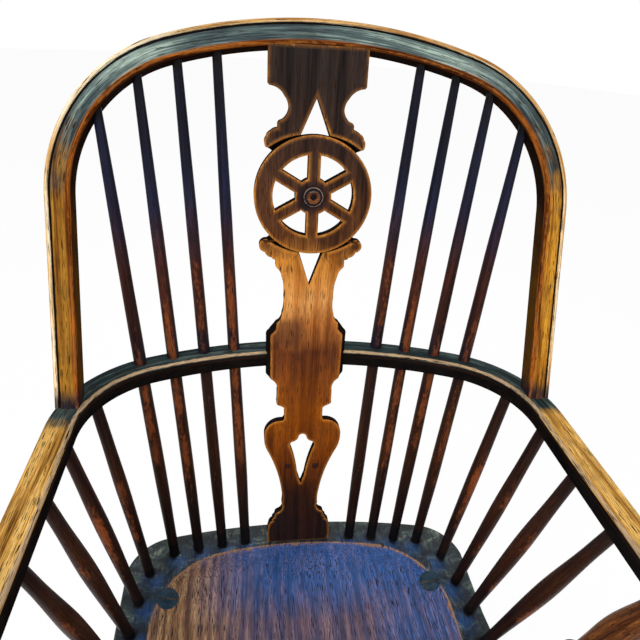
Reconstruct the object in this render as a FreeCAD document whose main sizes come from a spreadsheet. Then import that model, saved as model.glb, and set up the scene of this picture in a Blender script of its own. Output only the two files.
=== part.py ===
import FreeCAD, Part
import math
import os
import Sketcher
from FreeCAD import Placement, Rotation, Vector

# Wheelback chair: a double-bow armchair with a saddled seat, a bent arm bow on turned supports
# and short spindles, a raked back bow, eight long spindles and a fretted splat with a wheel.
# Millimetres. X runs across the chair, the chair faces -Y, and Z is up from the floor.
# While the pieces are laid out, y = 0 is the line of the two inner back spindles on the seat.

os.makedirs("parts", exist_ok=True)
doc = FreeCAD.newDocument("wheelback_chair")

# Driving dimensions

SIZES = {
    # seat
    "seat_height": 430.0,
    "seat_thickness": 40.0,
    "seat_rear_reach": 25.0,
    "seat_depth": 410.0,
    "seat_rear_width": 410.0,
    "seat_front_width": 440.0,
    "seat_rear_radius": 900.0,
    "seat_rear_corner_width": 47.0,
    "seat_rear_corner_depth": 60.0,
    "seat_rear_corner_radius": 56.0,
    "seat_waist_length": 80.0,
    "seat_front_corner_width": 62.0,
    "seat_front_corner_depth": 74.0,
    "seat_front_corner_radius": 78.0,
    "seat_front_radius": 1000.0,
    "seat_under_bevel": 16.0,
    "seat_under_bevel_height": 13.0,
    "seat_edge_round": 3.0,
    "saddle_rear_margin": 33.0,
    "saddle_side_margin": 36.0,
    "saddle_corner_radius": 92.0,
    "saddle_rear_radius": 520.0,
    "saddle_depth": 9.0,
    "saddle_slope_width": 52.0,
    "thigh_hollow_depth": 5.0,
    "thigh_hollow_width": 130.0,
    "thigh_hollow_length": 250.0,
    "thigh_hollow_spread": 78.0,
    # arm bow
    "arm_height": 265.0,
    "arm_rise_angle": 1.5,
    "arm_bow_width": 476.0,
    "arm_section_width": 24.0,
    "arm_thickness": 18.0,
    "arm_rear_reach": 57.5,
    "arm_crown_radius": 450.0,
    "arm_corner_radius": 115.0,
    "arm_front_reach": 290.0,
    "arm_edge_ease": 1.6,
    # back bow
    "back_rake_angle": 21.3,
    "back_bow_inset": 3.0,
    "back_bow_rise": 336.0,
    "back_bow_face": 21.0,
    "back_bow_depth": 20.0,
    "back_bow_crown_radius": 460.0,
    "back_bow_corner_radius": 140.0,
    "back_bow_foot_setback": 48.6,
    "bow_bead_width": 3.4,
    "bow_groove_width": 2.2,
    "bow_groove_depth": 1.6,
    "bow_inner_round": 3.0,
    "bow_tenon_diameter": 12.0,
    "bow_tenon_length": 13.0,
    "bow_pin_diameter": 5.0,
    "bow_pin_past_tenon": 0.5,
    # long spindles, through the arm bow from the seat to the back bow
    "long_seat_pitch": 28.5,
    "long_seat_first": 66.0,
    "long_seat_line_radius": 720.0,
    "long_arm_pitch": 31.0,
    "long_arm_first": 78.0,
    "long_arm_setback": 2.5,
    "long_top_pitch": 33.3,
    "long_top_first": 90.0,
    "long_foot_diameter": 11.5,
    "long_swell_diameter": 13.5,
    "long_arm_diameter": 12.4,
    "long_arm_hole_ease": 0.2,
    "long_top_diameter": 8.0,
    "long_top_tenon": 9.0,
    # short spindles, from the seat to the underside of the arm bow
    "short_seat_margin_1": 27.5,
    "short_seat_margin_2": 20.5,
    "short_seat_margin_3": 17.0,
    "short_seat_margin_4": 16.0,
    "short_seat_y_1": 38.4,
    "short_seat_y_2": 74.7,
    "short_seat_y_3": 112.0,
    "short_seat_y_4": 150.0,
    "short_arm_y_1": 26.0,
    "short_arm_y_2": 80.0,
    "short_arm_y_3": 143.0,
    "short_arm_y_4": 205.0,
    "short_end_diameter": 11.0,
    "short_swell_1": 13.5,
    "short_swell_2": 14.5,
    "short_swell_3": 16.0,
    "short_swell_4": 17.0,
    "short_arm_tenon": 11.0,
    # arm supports
    "support_seat_margin": 17.0,
    "support_seat_y": 205.0,
    "support_arm_y": 268.0,
    "support_tenon_diameter": 14.0,
    "support_arm_tenon": 12.0,
    "support_foot_diameter": 21.0,
    "support_belly_diameter": 37.0,
    "support_neck_diameter": 18.0,
    "support_ring_diameter": 26.0,
    "support_top_diameter": 25.0,
    "support_neck_height": 138.0,
    "support_ring_width": 9.0,
    # splat
    "splat_thickness": 9.0,
    "splat_tilt_angle": 6.22,
    "splat_foot_forward": 4.0,
    "splat_arm_gap": 0.2,
    "splat_seat_tenon": 14.0,
    "splat_top_tenon": 8.0,
    "splat_top_width": 88.0,
    "splat_top_height": 532.0,
    "splat_notch_width": 50.0,
    "splat_notch_height": 515.0,
    "splat_lip_width": 69.0,
    "splat_lip_rise": 500.0,
    "splat_horn_width": 92.0,
    "splat_horn_height": 485.0,
    "wheel_height": 436.5,
    "wheel_diameter": 112.0,
    "wheel_rim_width": 17.5,
    "wheel_hub_diameter": 34.5,
    "wheel_spoke_width": 11.5,
    "wheel_stand_proud": 2.0,
    "splat_low_horn_height": 385.0,
    "splat_low_lip_height": 374.0,
    "splat_waist_top_width": 58.0,
    "splat_waist_top_height": 360.0,
    "splat_waist_width": 51.0,
    "splat_waist_height": 328.0,
    "splat_shield_width": 80.0,
    "splat_shield_top": 295.0,
    "splat_shield_bottom": 240.0,
    "splat_step_width": 61.0,
    "splat_step_top": 224.0,
    "splat_step_bottom": 204.0,
    "splat_neck_width": 43.0,
    "splat_neck_top": 199.0,
    "splat_neck_bottom": 184.0,
    "splat_vase_shoulder_width": 77.0,
    "splat_vase_shoulder_height": 179.0,
    "splat_vase_width": 88.0,
    "splat_vase_height": 163.0,
    "splat_stem_width": 44.0,
    "splat_stem_height": 66.0,
    "splat_base_width": 77.0,
    "splat_base_height": 30.0,
    "splat_vase_radius": 150.0,
    "splat_small_radius": 22.0,
    "triangle_width": 26.0,
    "triangle_top": 524.0,
    "triangle_bottom": 491.5,
    "vee_width": 23.0,
    "vee_top": 378.0,
    "vee_bottom": 346.0,
    "keyhole_width": 27.0,
    "keyhole_top": 164.0,
    "keyhole_shoulder": 148.5,
    "keyhole_bottom": 92.0,
    "boss_diameter": 20.0,
    "boss_height": 4.0,
    "boss_ring_diameter": 13.0,
    "boss_eye_diameter": 6.0,
    "boss_spigot_diameter": 8.0,
    "boss_spigot_length": 4.0,
    # legs and stretchers
    "leg_rear_x": 154.0,
    "leg_rear_y": 71.0,
    "leg_front_x": 160.0,
    "leg_front_y": 318.0,
    "leg_rear_splay_x": 36.0,
    "leg_rear_splay_y": 62.0,
    "leg_front_splay_x": 40.0,
    "leg_front_splay_y": 34.0,
    "leg_tenon_diameter": 25.0,
    "leg_shoulder_diameter": 30.0,
    "leg_upper_diameter": 35.0,
    "leg_neck_diameter": 23.0,
    "leg_ring_diameter": 35.0,
    "leg_belly_diameter": 42.0,
    "leg_waist_diameter": 26.0,
    "leg_stretcher_diameter": 35.0,
    "leg_ankle_diameter": 24.0,
    "leg_foot_diameter": 32.0,
    "leg_floor_diameter": 24.0,
    "leg_neck_at": 104.0,
    "leg_ring_width": 10.0,
    "leg_waist_at": 212.0,
    "leg_stretcher_at": 250.0,
    "leg_ankle_at": 300.0,
    "leg_foot_at": 316.0,
    "wedge_width": 2.4,
    "wedge_depth": 16.0,
    "stretcher_end_diameter": 16.0,
    "side_stretcher_diameter": 31.0,
    "cross_stretcher_diameter": 27.0,
    "stretcher_bead_diameter": 22.0,
    "stretcher_bead_width": 8.0,
    "stretcher_bead_from_end": 52.0,
    "stretcher_tenon_length": 11.0,
    # joints
    "seat_socket_depth": 20.0,
    "shrinkage": 0.98,
    "socket_gap": 0.1,
    "socket_end_gap": 0.3,
}

sheet = doc.addObject("Spreadsheet::Sheet", "Sizes")
for row, (alias, number) in enumerate(SIZES.items(), start=1):
    sheet.set("A%d" % row, alias.replace("_", " "))
    sheet.set("B%d" % row, str(number))
    sheet.setAlias("B%d" % row, alias)
layout = doc.addObject("Spreadsheet::Sheet", "Layout")
layout.set("A1", "places and lengths worked out from the sizes")
doc.recompute()


class Size:
    """A length with the spreadsheet expression that gives it."""

    def __init__(self, value, text):
        self.value = float(value)
        self.text = text

    def _pair(self, other, sign, result):
        other = other if isinstance(other, Size) else Size(other, repr(float(other)))
        return Size(result(self.value, other.value), "(%s %s %s)" % (self.text, sign, other.text))

    def __add__(self, other):
        return self._pair(other, "+", lambda a, b: a + b)

    def __sub__(self, other):
        return self._pair(other, "-", lambda a, b: a - b)

    def __mul__(self, other):
        return self._pair(other, "*", lambda a, b: a * b)

    def __truediv__(self, other):
        return self._pair(other, "/", lambda a, b: a / b)

    def __neg__(self):
        return Size(-self.value, "(-1 * %s)" % self.text)


def size(alias):
    """The named driving dimension."""
    return Size(sheet.get(alias), "Sizes.%s" % alias)


worked_out = []


def derived(alias, value):
    """A worked-out length, written to the layout sheet under its own name."""
    worked_out.append(alias)
    row = len(worked_out) + 1
    layout.set("A%d" % row, alias.replace("_", " "))
    layout.set("B%d" % row, repr(round(float(value), 6)))
    layout.setAlias("B%d" % row, alias)
    layout.recompute()
    return Size(value, "Layout.%s" % alias)


ZERO = Size(0.0, "0")
GAP = size("socket_gap")
END_GAP = size("socket_end_gap")

# Sketches, turned pieces and cutters


def arc_centre(start, end, radius, side):
    """Centre of the arc from start to end that bulges to the left (side 1) or right (-1)."""
    chord = end - start
    middle = (start + end) * 0.5
    reach = math.sqrt(max(radius * radius - chord.Length * chord.Length / 4.0, 0.0))
    across = Vector(-chord.y, chord.x, 0).normalize()
    return middle - across * reach * side


def draw_outline(body, name, role, corners, height=None):
    """Draws a closed outline of lines and arcs with every corner and radius bound to the sheet.

    Each corner is (x, y, radius, side): the edge that leaves it is an arc when radius is set.
    """
    sketch = body.newObject("Sketcher::SketchObject", name)
    plane = [f for f in body.Origin.OriginFeatures if f.Role == role][0]
    sketch.AttachmentSupport = [(plane, "")]
    sketch.MapMode = "FlatFace"
    if height is not None:
        sketch.setExpression("AttachmentOffset.Base.z", height.text)
        sketch.AttachmentOffset = Placement(Vector(0, 0, height.value), Rotation())
    ends = []
    for index, corner in enumerate(corners):
        following = corners[(index + 1) % len(corners)]
        start = Vector(corner[0].value, corner[1].value, 0)
        end = Vector(following[0].value, following[1].value, 0)
        if corner[2] is None:
            edge = sketch.addGeometry(Part.LineSegment(start, end), False)
            ends.append((edge, 1, 2))
            continue
        radius, side = corner[2], corner[3]
        centre = arc_centre(start, end, radius.value, side)
        circle = Part.Circle(centre, Vector(0, 0, 1), radius.value)
        first, last = (start, end) if side < 0 else (end, start)
        angles = [math.atan2(p.y - centre.y, p.x - centre.x) for p in (first, last)]
        if angles[1] < angles[0]:
            angles[1] += 2.0 * math.pi
        edge = sketch.addGeometry(Part.ArcOfCircle(circle, angles[0], angles[1]), False)
        ends.append((edge, 1, 2) if side < 0 else (edge, 2, 1))
    for index, (edge, _, tail) in enumerate(ends):
        following, head, _ = ends[(index + 1) % len(ends)]
        sketch.addConstraint(Sketcher.Constraint("Coincident", edge, tail, following, head))
    for corner, (edge, head, _) in zip(corners, ends):
        for kind, place in (("DistanceX", corner[0]), ("DistanceY", corner[1])):
            number = sketch.addConstraint(
                Sketcher.Constraint(kind, -1, 1, edge, head, place.value))
            sketch.setExpression("Constraints[%d]" % number, place.text)
        if corner[2] is not None:
            number = sketch.addConstraint(Sketcher.Constraint("Radius", edge, corner[2].value))
            sketch.setExpression("Constraints[%d]" % number, corner[2].text)
    return sketch


def new_body(name):
    """A new body with its own label."""
    body = doc.addObject("PartDesign::Body", name)
    body.Label = name
    return body


def pad(body, sketch, length, downward=False):
    """Pads the sketch by a length from the sheet."""
    feature = body.newObject("PartDesign::Pad", sketch.Name + "_pad")
    feature.Profile = sketch
    feature.Length = length.value
    feature.setExpression("Length", length.text)
    feature.Reversed = downward
    return feature


def turn(name, stations):
    """Turns a body about its Z axis from (height, radius, arc radius, side) stations."""
    body = new_body(name)
    corners = [(ZERO, stations[0][0], None, 0)]
    for height, radius, bend, side in stations:
        corners.append((radius, height, bend, side))
    corners.append((ZERO, stations[-1][0], None, 0))
    sketch = draw_outline(body, name + "_profile", "XZ_Plane", corners)
    feature = body.newObject("PartDesign::Revolution", name + "_turning")
    feature.Profile = sketch
    feature.ReferenceAxis = (sketch, ["V_Axis"])
    feature.Angle = 360.0
    return body


def swell(start, end, middle):
    """Three stations that swell from a start to an end, both (height, radius), by way of a
    middle radius."""
    span = end[0] - start[0]
    return [
        (start[0] + span * 0.2, start[1] + (middle - start[1]) * 0.7, None, 0),
        (start[0] + span * 0.5, middle, None, 0),
        (start[0] + span * 0.8, end[1] + (middle - end[1]) * 0.7, None, 0),
    ]


def along(start, end):
    """A placement whose Z axis runs from start to end."""
    return Placement(start, Rotation(Vector(0, 0, 1), end - start))


def drill(name, radius, start, end):
    """A drill from start to end that cuts a socket."""
    cylinder = doc.addObject("Part::Cylinder", name)
    cylinder.Radius = radius.value
    cylinder.setExpression("Radius", radius.text)
    cylinder.Height = (end - start).Length
    cylinder.Placement = along(start, end)
    return cylinder


def rod(name, rings):
    """A slim turned stick through (centre, direction, radius) rings, a little oval because the
    wood has shrunk across its grain."""
    sections = []
    for index, (centre, direction, radius) in enumerate(rings):
        ring = doc.addObject("Part::Ellipse", "%s_ring_%d" % (name, index + 1))
        shrunk = radius * size("shrinkage")
        ring.MajorRadius = radius.value
        ring.MinorRadius = shrunk.value
        ring.setExpression("MajorRadius", radius.text)
        ring.setExpression("MinorRadius", shrunk.text)
        ring.Placement = Placement(centre, Rotation(Vector(0, 0, 1), direction))
        sections.append(ring)
    stick = doc.addObject("Part::Loft", name)
    stick.Sections = sections
    stick.Solid = True
    stick.Ruled = True
    stick.Label = name
    return stick


def box_cutter(name, width, depth, height, placement):
    """A box centred across and through its depth, standing on its placement's origin."""
    box = doc.addObject("Part::Box", name)
    for prop, length in (("Length", width), ("Width", depth), ("Height", height)):
        setattr(box, prop, length.value)
        box.setExpression(prop, length.text)
    centred = Placement(Vector(-width.value / 2, -depth.value / 2, 0), Rotation())
    box.Placement = placement.multiply(centred)
    return box


def cut_away(name, base, cutters):
    """The base less its cutters, under the label of the finished piece."""
    base.Label = name + "_blank"
    tool = cutters[0]
    if len(cutters) > 1:
        tool = doc.addObject("Part::MultiFuse", name + "_cutters")
        tool.Shapes = cutters
    cut = doc.addObject("Part::Cut", name)
    cut.Base = base
    cut.Tool = tool
    cut.Label = name
    return cut


def bow_curve(half_width, rise, crown, corner):
    """Tangent points of a bow with straight sides, corner arcs and a flatter crown arc.

    The bow's base line is y = 0 at its crown's highest point less the rise. Returns the height
    of the end of the straight side, the tangent point of corner and crown, and both centres.
    """
    reach = half_width * half_width - 2 * half_width * corner + 2 * crown * corner
    drop = crown - math.sqrt(crown * crown - reach)
    side_height = rise - drop
    corner_centre = Vector(half_width - corner, side_height, 0)
    crown_centre = Vector(0, rise - crown, 0)
    outward = (corner_centre - crown_centre).normalize()
    touch = crown_centre + outward * crown
    return side_height, touch, corner_centre, crown_centre


def on_bow(x, half_width, rise, crown, corner):
    """Height of the bow's curve at x, on the crown or on the corner."""
    side_height, touch, corner_centre, crown_centre = bow_curve(
        half_width, rise, crown, corner)
    if abs(x) <= touch.x:
        return crown_centre.y + math.sqrt(crown * crown - x * x)
    across = abs(x) - corner_centre.x
    return corner_centre.y + math.sqrt(max(corner * corner - across * across, 0.0))


SIDES = {"left": -1.0, "right": 1.0}
seat_top = size("seat_height").value
pieces = []
seat_cutters = []
arm_cutters = []
bow_cutters = []

# The arm bow's plane rises a little to the front, about the line y = 0

arm_level = seat_top + size("arm_height").value
arm_plane = Placement(Vector(0, 0, arm_level),
                      Rotation(Vector(1, 0, 0), -size("arm_rise_angle").value))
arm_up = arm_plane.Rotation.multVec(Vector(0, 0, 1))
arm_half = size("arm_bow_width") / 2
arm_section = size("arm_section_width")
arm_thickness = size("arm_thickness")
arm_crown = size("arm_crown_radius")
arm_corner = size("arm_corner_radius")
arm_rear = size("arm_rear_reach")
arm_front = size("arm_front_reach")


def arm_point(x, setback, depth):
    """A point in the arm bow at x, behind the middle of its width and below its top."""
    half = arm_section.value / 2
    y = on_bow(x, arm_half.value - half, arm_rear.value - half, arm_crown.value - half,
               arm_corner.value - half)
    return arm_plane.multVec(Vector(x, y + setback, -depth))


def arm_side_point(side, y, depth):
    """A point in the arm bow's side at y, in the middle of its width."""
    half = arm_section.value / 2
    low, high = 0.0, arm_half.value - half
    reach = (arm_half.value - half, arm_rear.value - half, arm_crown.value - half,
             arm_corner.value - half)
    x = high
    if y > bow_curve(*reach)[0]:
        for _ in range(60):
            x = (low + high) / 2
            low, high = (x, high) if on_bow(x, *reach) > y else (low, x)
    return arm_plane.multVec(Vector(side * x, y, -depth))


# The back bow's plane leans back from its feet on the arm bow

bow_foot = arm_plane.multVec(Vector(0, -size("back_bow_foot_setback").value, 0))
bow_plane = Placement(bow_foot, Rotation(Vector(1, 0, 0), 90 - size("back_rake_angle").value))
bow_half = arm_half - size("back_bow_inset")
bow_rise = size("back_bow_rise")
bow_face = size("back_bow_face")
bow_depth = size("back_bow_depth")
bow_crown = size("back_bow_crown_radius")
bow_corner = size("back_bow_corner_radius")


def soffit_point(x, inside):
    """A point in the back bow at x, inside its soffit by the given distance."""
    trim = bow_face.value - inside
    height = on_bow(x, bow_half.value - trim, bow_rise.value - trim, bow_crown.value - trim,
                    bow_corner.value - trim)
    return bow_plane.multVec(Vector(x, height, 0))


# Long spindles: each bends a little where it passes through the arm bow


def long_spindle(name, side, number):
    """One long spindle with its sockets in the seat and back bow and its hole in the arm bow."""
    step = number - 1
    first = size("long_seat_first").value
    seat_x = first + step * size("long_seat_pitch").value
    line = size("long_seat_line_radius").value
    seat_y = math.sqrt(line ** 2 - seat_x ** 2) - math.sqrt(line ** 2 - first ** 2)
    arm_x = size("long_arm_first").value + step * size("long_arm_pitch").value
    top_x = size("long_top_first").value + step * size("long_top_pitch").value
    seat = Vector(side * seat_x, seat_y, seat_top)
    arm = arm_point(side * arm_x, size("long_arm_setback").value, arm_thickness.value / 2)
    top = soffit_point(side * top_x, 0.0)
    lower_axis = (arm - seat).normalize()
    upper_axis = (top - arm).normalize()
    foot = size("long_foot_diameter") / 2
    waist = size("long_arm_diameter") / 2
    swelled = size("long_swell_diameter") / 2
    tip = size("long_top_diameter") / 2
    tenon = size("long_top_tenon")
    socket = size("seat_socket_depth")
    pieces.append(rod(name, [
        (seat - lower_axis * socket.value, lower_axis, foot),
        (seat, lower_axis, foot),
        (seat + (arm - seat) * 0.45, lower_axis, swelled),
        (arm, (lower_axis + upper_axis).normalize(), waist),
        (arm + (top - arm) * 0.45, upper_axis, waist * 0.94),
        (top, upper_axis, tip),
        (top + upper_axis * tenon.value, upper_axis, tip),
    ]))
    seat_cutters.append(drill(name + "_seat_socket", foot + GAP,
                              seat - lower_axis * (socket.value + END_GAP.value),
                              seat + lower_axis * 10))
    bend_axis = (lower_axis + upper_axis).normalize() * arm_thickness.value
    arm_cutters.append(drill(name + "_arm_hole", waist + GAP + size("long_arm_hole_ease"),
                             arm - bend_axis, arm + bend_axis))
    bow_cutters.append(drill(name + "_bow_socket", tip + GAP, top - upper_axis * 10,
                             top + upper_axis * (tenon.value + END_GAP.value)))


for side_name, side_sign in SIDES.items():
    for spindle in range(1, 5):
        long_spindle("long_spindle_%s_%d" % (side_name, spindle), side_sign, spindle)

# Short spindles under the arm bow


def seat_half_width(y):
    """Half the seat's width at y, between its rear corners and its front corners."""
    rear = size("seat_rear_width").value / 2
    front = size("seat_front_width").value / 2
    widen_from = -(size("seat_rear_corner_depth").value + size("seat_waist_length").value
                   - size("seat_rear_reach").value)
    widen_to = size("seat_rear_reach").value - size("seat_depth").value \
        + size("seat_front_corner_depth").value
    if y >= widen_from:
        return rear
    return rear + (front - rear) * min((y - widen_from) / (widen_to - widen_from), 1.0)


def short_spindle(name, side, number):
    """One short spindle, turned with a slight swell, with both its sockets."""
    seat_y = -size("short_seat_y_%d" % number).value
    arm_y = -size("short_arm_y_%d" % number).value
    margin = size("short_seat_margin_%d" % number).value
    seat = Vector(side * (seat_half_width(seat_y) - margin), seat_y, seat_top)
    under = arm_side_point(side, arm_y, arm_thickness.value)
    axis = (under - seat).normalize()
    end = size("short_end_diameter") / 2
    middle = size("short_swell_%d" % number) / 2
    between = end + (middle - end) * 0.5
    run = under - seat
    pieces.append(rod(name, [
        (seat - axis * size("seat_socket_depth").value, axis, end),
        (seat, axis, end),
        (seat + run * 0.22, axis, between),
        (seat + run * 0.5, axis, middle),
        (seat + run * 0.78, axis, between),
        (under, axis, end),
        (under + axis * size("short_arm_tenon").value, axis, end),
    ]))
    low = seat - axis * (size("seat_socket_depth").value + END_GAP.value)
    high = under + axis * (size("short_arm_tenon").value + END_GAP.value)
    seat_cutters.append(drill(name + "_seat_socket", end + GAP, low, seat + axis * 10))
    arm_cutters.append(drill(name + "_arm_socket", end + GAP, under - axis * 10, high))


for side_name, side_sign in SIDES.items():
    for spindle in range(1, 5):
        short_spindle("short_spindle_%s_%d" % (side_name, spindle), side_sign, spindle)

# Turned supports under the fronts of the arms


def arm_support(name, side):
    """A turned support with a belly, a ringed neck and a tapered top."""
    seat_y = -size("support_seat_y").value
    seat = Vector(side * (seat_half_width(seat_y) - size("support_seat_margin").value),
                  seat_y, seat_top)
    under = arm_side_point(side, -size("support_arm_y").value, arm_thickness.value)
    axis = (under - seat).normalize()
    length = derived(name + "_length", (under - seat).Length)
    tenon = size("support_tenon_diameter") / 2
    foot = size("support_foot_diameter") / 2
    belly = size("support_belly_diameter") / 2
    neck = size("support_neck_diameter") / 2
    ring = size("support_ring_diameter") / 2
    top = size("support_top_diameter") / 2
    ring_width = size("support_ring_width")
    neck_at = size("support_neck_height")
    belly_from = (ring_width * 1.6, foot * 0.92)
    belly_to = (neck_at - ring_width, neck)
    swell_from = (neck_at + ring_width * 0.2, neck)
    swell_to = (length, foot)
    body = turn(name, [
        (-size("seat_socket_depth"), tenon, None, 0),
        (ZERO, tenon, None, 0),
        (ZERO, foot, None, 0),
        (ring_width * 0.5, foot * 1.2, None, 0),
        (ring_width, foot * 1.2, None, 0),
        belly_from + (None, 0),
        *swell(belly_from, belly_to, belly),
        belly_to + (None, 0),
        (neck_at - ring_width * 0.7, ring, None, 0),
        (neck_at - ring_width * 0.2, ring, None, 0),
        swell_from + (None, 0),
        *swell(swell_from, swell_to, top),
        swell_to + (None, 0),
        (length, tenon, None, 0),
        (length + size("support_arm_tenon"), tenon, None, 0),
    ])
    body.Placement = along(seat, under)
    pieces.append(body)
    low = seat - axis * (size("seat_socket_depth").value + END_GAP.value)
    high = under + axis * (size("support_arm_tenon").value + END_GAP.value)
    seat_cutters.append(drill(name + "_seat_socket", tenon + GAP, low, seat + axis * 10))
    arm_cutters.append(drill(name + "_arm_socket", tenon + GAP, under - axis * 10, high))


for side_name, side_sign in SIDES.items():
    arm_support("arm_support_" + side_name, side_sign)

# The saddle: a dish with sloped sides and two thigh hollows, cut from the seat and from the
# leg tenons in it

seat_front_y = size("seat_rear_reach").value - size("seat_depth").value


def saddle_wire(inset, z):
    """The saddle's outline, drawn in from its margin, open to the front of the seat."""
    half = size("seat_rear_width").value / 2 - size("saddle_side_margin").value - inset
    rear = size("seat_rear_reach").value - size("saddle_rear_margin").value - inset
    crown = size("saddle_rear_radius").value - inset
    corner = size("saddle_corner_radius").value - inset * 0.5
    side_y, touch, corner_centre, crown_centre = bow_curve(half, rear, crown, corner)
    front = seat_front_y - 60
    diagonal = (touch - corner_centre).normalize() + Vector(1, 0, 0)
    bend = corner_centre + diagonal.normalize() * corner
    points = [Vector(half, front, 0), Vector(half, side_y, 0), bend, touch,
              Vector(0, rear, 0)]
    flip = [Vector(-p.x, p.y, 0) for p in points]
    edges = [Part.LineSegment(points[0], points[1]).toShape(),
             Part.Arc(points[1], points[2], points[3]).toShape(),
             Part.Arc(points[3], points[4], flip[3]).toShape(),
             Part.Arc(flip[3], flip[2], flip[1]).toShape(),
             Part.LineSegment(flip[1], flip[0]).toShape(),
             Part.LineSegment(flip[0], points[0]).toShape()]
    wire = Part.Wire(edges)
    wire.translate(Vector(0, 0, z))
    return wire


slope = size("saddle_slope_width").value
dish_depth = size("saddle_depth").value
steps = [(-slope * 0.12, 0.12), (0.0, 0.0), (slope * 0.3, -0.48), (slope * 0.62, -0.8),
         (slope, -1.0)]
saddle = doc.addObject("Part::Feature", "saddle_dish")
saddle.Shape = Part.makeLoft([saddle_wire(inset, seat_top + share * dish_depth)
                              for inset, share in steps], True, False)
saddle_cutters = [saddle]
hollow_depth = size("thigh_hollow_depth").value
hollow_half = size("thigh_hollow_width").value / 2
hollow_length = size("thigh_hollow_length").value
hollow_radius = derived("thigh_hollow_radius", (hollow_half ** 2 + hollow_depth ** 2)
                        / (2 * hollow_depth))
for side_name, side_sign in SIDES.items():
    deepest = Vector(side_sign * size("thigh_hollow_spread").value, seat_front_y,
                     seat_top - dish_depth - hollow_depth + hollow_radius.value)
    shallowest = deepest + Vector(0, hollow_length, hollow_depth)
    run = (shallowest - deepest).normalize()
    hollow = drill("thigh_hollow_" + side_name, hollow_radius, deepest - run * 60,
                   shallowest + run * 60)
    saddle_cutters.append(hollow)
seat_cutters.extend(saddle_cutters)

# Legs with tenons through the seat, wedged from above, and the stretchers between them

floor = doc.addObject("Part::Box", "floor_cut")
floor.Length = 2000
floor.Width = 2000
floor.Height = 200
floor.Placement = Placement(Vector(-1000, -1000, -200), Rotation())
leg_lines = {}
for end_name, sign_y in (("rear", 1.0), ("front", -1.0)):
    for side_name, side_sign in SIDES.items():
        top_point = Vector(side_sign * size("leg_%s_x" % end_name).value,
                           -size("leg_%s_y" % end_name).value, seat_top)
        foot_point = Vector(
            top_point.x + side_sign * size("leg_%s_splay_x" % end_name).value,
            top_point.y + sign_y * size("leg_%s_splay_y" % end_name).value, 0)
        leg_lines[end_name, side_name] = (top_point, foot_point)


def leg_point(end_name, side_name, below_seat):
    """The point on a leg's axis at a distance along it below the seat's underside."""
    top_point, foot_point = leg_lines[end_name, side_name]
    axis = (foot_point - top_point).normalize()
    return top_point + axis * (size("seat_thickness").value / abs(axis.z) + below_seat)


def leg(end_name, side_name):
    """One turned leg, its wedge and the sockets for its stretcher."""
    name = "leg_%s_%s" % (end_name, side_name)
    top_point, foot_point = leg_lines[end_name, side_name]
    axis = (foot_point - top_point).normalize()
    tenon_length = derived(name + "_tenon", size("seat_thickness").value / abs(axis.z))
    reach = derived(name + "_reach", (foot_point - top_point).Length - tenon_length.value)
    at = {key: size("leg_%s_at" % key) for key in
          ("neck", "waist", "stretcher", "ankle", "foot")}
    wide = {key: size("leg_%s_diameter" % key) / 2 for key in
            ("tenon", "shoulder", "upper", "neck", "ring", "belly", "waist", "stretcher",
             "ankle", "foot", "floor")}
    ring = size("leg_ring_width")
    top_from = (ZERO, wide["shoulder"])
    top_to = (at["neck"], wide["neck"])
    belly_from = (at["neck"] + ring * 1.7, wide["neck"])
    belly_to = (at["waist"], wide["waist"])
    body = turn(name + "_turned", [
        (-tenon_length, wide["tenon"], None, 0),
        (ZERO, wide["tenon"], None, 0),
        top_from + (None, 0),
        *swell(top_from, top_to, wide["upper"]),
        top_to + (None, 0),
        (at["neck"] + ring * 0.5, wide["ring"], None, 0),
        (at["neck"] + ring * 1.2, wide["ring"], None, 0),
        belly_from + (None, 0),
        *swell(belly_from, belly_to, wide["belly"]),
        belly_to + (None, 0),
        (at["stretcher"] - ring, wide["stretcher"], None, 0),
        (at["stretcher"] + ring, wide["stretcher"], None, 0),
        (at["ankle"], wide["ankle"], None, 0),
        (at["ankle"] + ring * 0.5, wide["foot"], None, 0),
        (at["foot"], wide["foot"], None, 0),
        (at["foot"] + ring * 0.4, wide["ankle"] * 1.1, None, 0),
        (at["foot"] + ring * 2.2, wide["foot"] * 0.95, None, 0),
        (reach + wide["foot"], wide["floor"], None, 0),
    ])
    start = leg_point(end_name, side_name, 0.0)
    body.Placement = Placement(start, Rotation(Vector(0, 0, 1), foot_point - top_point))
    seat_cutters.append(drill(name + "_seat_hole", wide["tenon"] + GAP,
                              top_point - axis * 30, start + axis * 30))
    kerf = size("wedge_width")
    across = wide["tenon"] * 2
    depth = size("wedge_depth")
    turned_to = Placement(top_point, Rotation())
    slot = box_cutter(name + "_kerf", across * 1.2, kerf, depth * 2, Placement(
        top_point - Vector(0, 0, depth.value), Rotation()))
    level = box_cutter(name + "_flush", across * 2, across * 2, across, turned_to)
    other = "front" if end_name == "rear" else "rear"
    near = leg_point(end_name, side_name, at["stretcher"].value)
    far = leg_point(other, side_name, at["stretcher"].value)
    toward = (far - near).normalize()
    inside = size("stretcher_tenon_length").value + END_GAP.value
    face = near + toward * wide["stretcher"].value
    socket = drill(name + "_stretcher_socket", size("stretcher_end_diameter") / 2 + GAP,
                   face - toward * inside, face + toward * 20)
    pieces.append(cut_away(name, body, [floor, slot, level, socket] + saddle_cutters))
    wedge_blank = drill("leg_wedge_%s_%s_round" % (end_name, side_name), wide["tenon"],
                        top_point + axis * (depth.value + 6), top_point - axis * 30)
    wedge_slab = box_cutter("leg_wedge_%s_%s_slab" % (end_name, side_name), across * 1.2,
                            kerf - GAP, depth - GAP, Placement(
                                top_point - Vector(0, 0, depth.value - GAP.value), Rotation()))
    wedge = doc.addObject("Part::Common", "leg_wedge_%s_%s_whole" % (end_name, side_name))
    wedge.Base = wedge_slab
    wedge.Tool = wedge_blank
    pieces.append(cut_away("leg_wedge_%s_%s" % (end_name, side_name), wedge, saddle_cutters))


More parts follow.
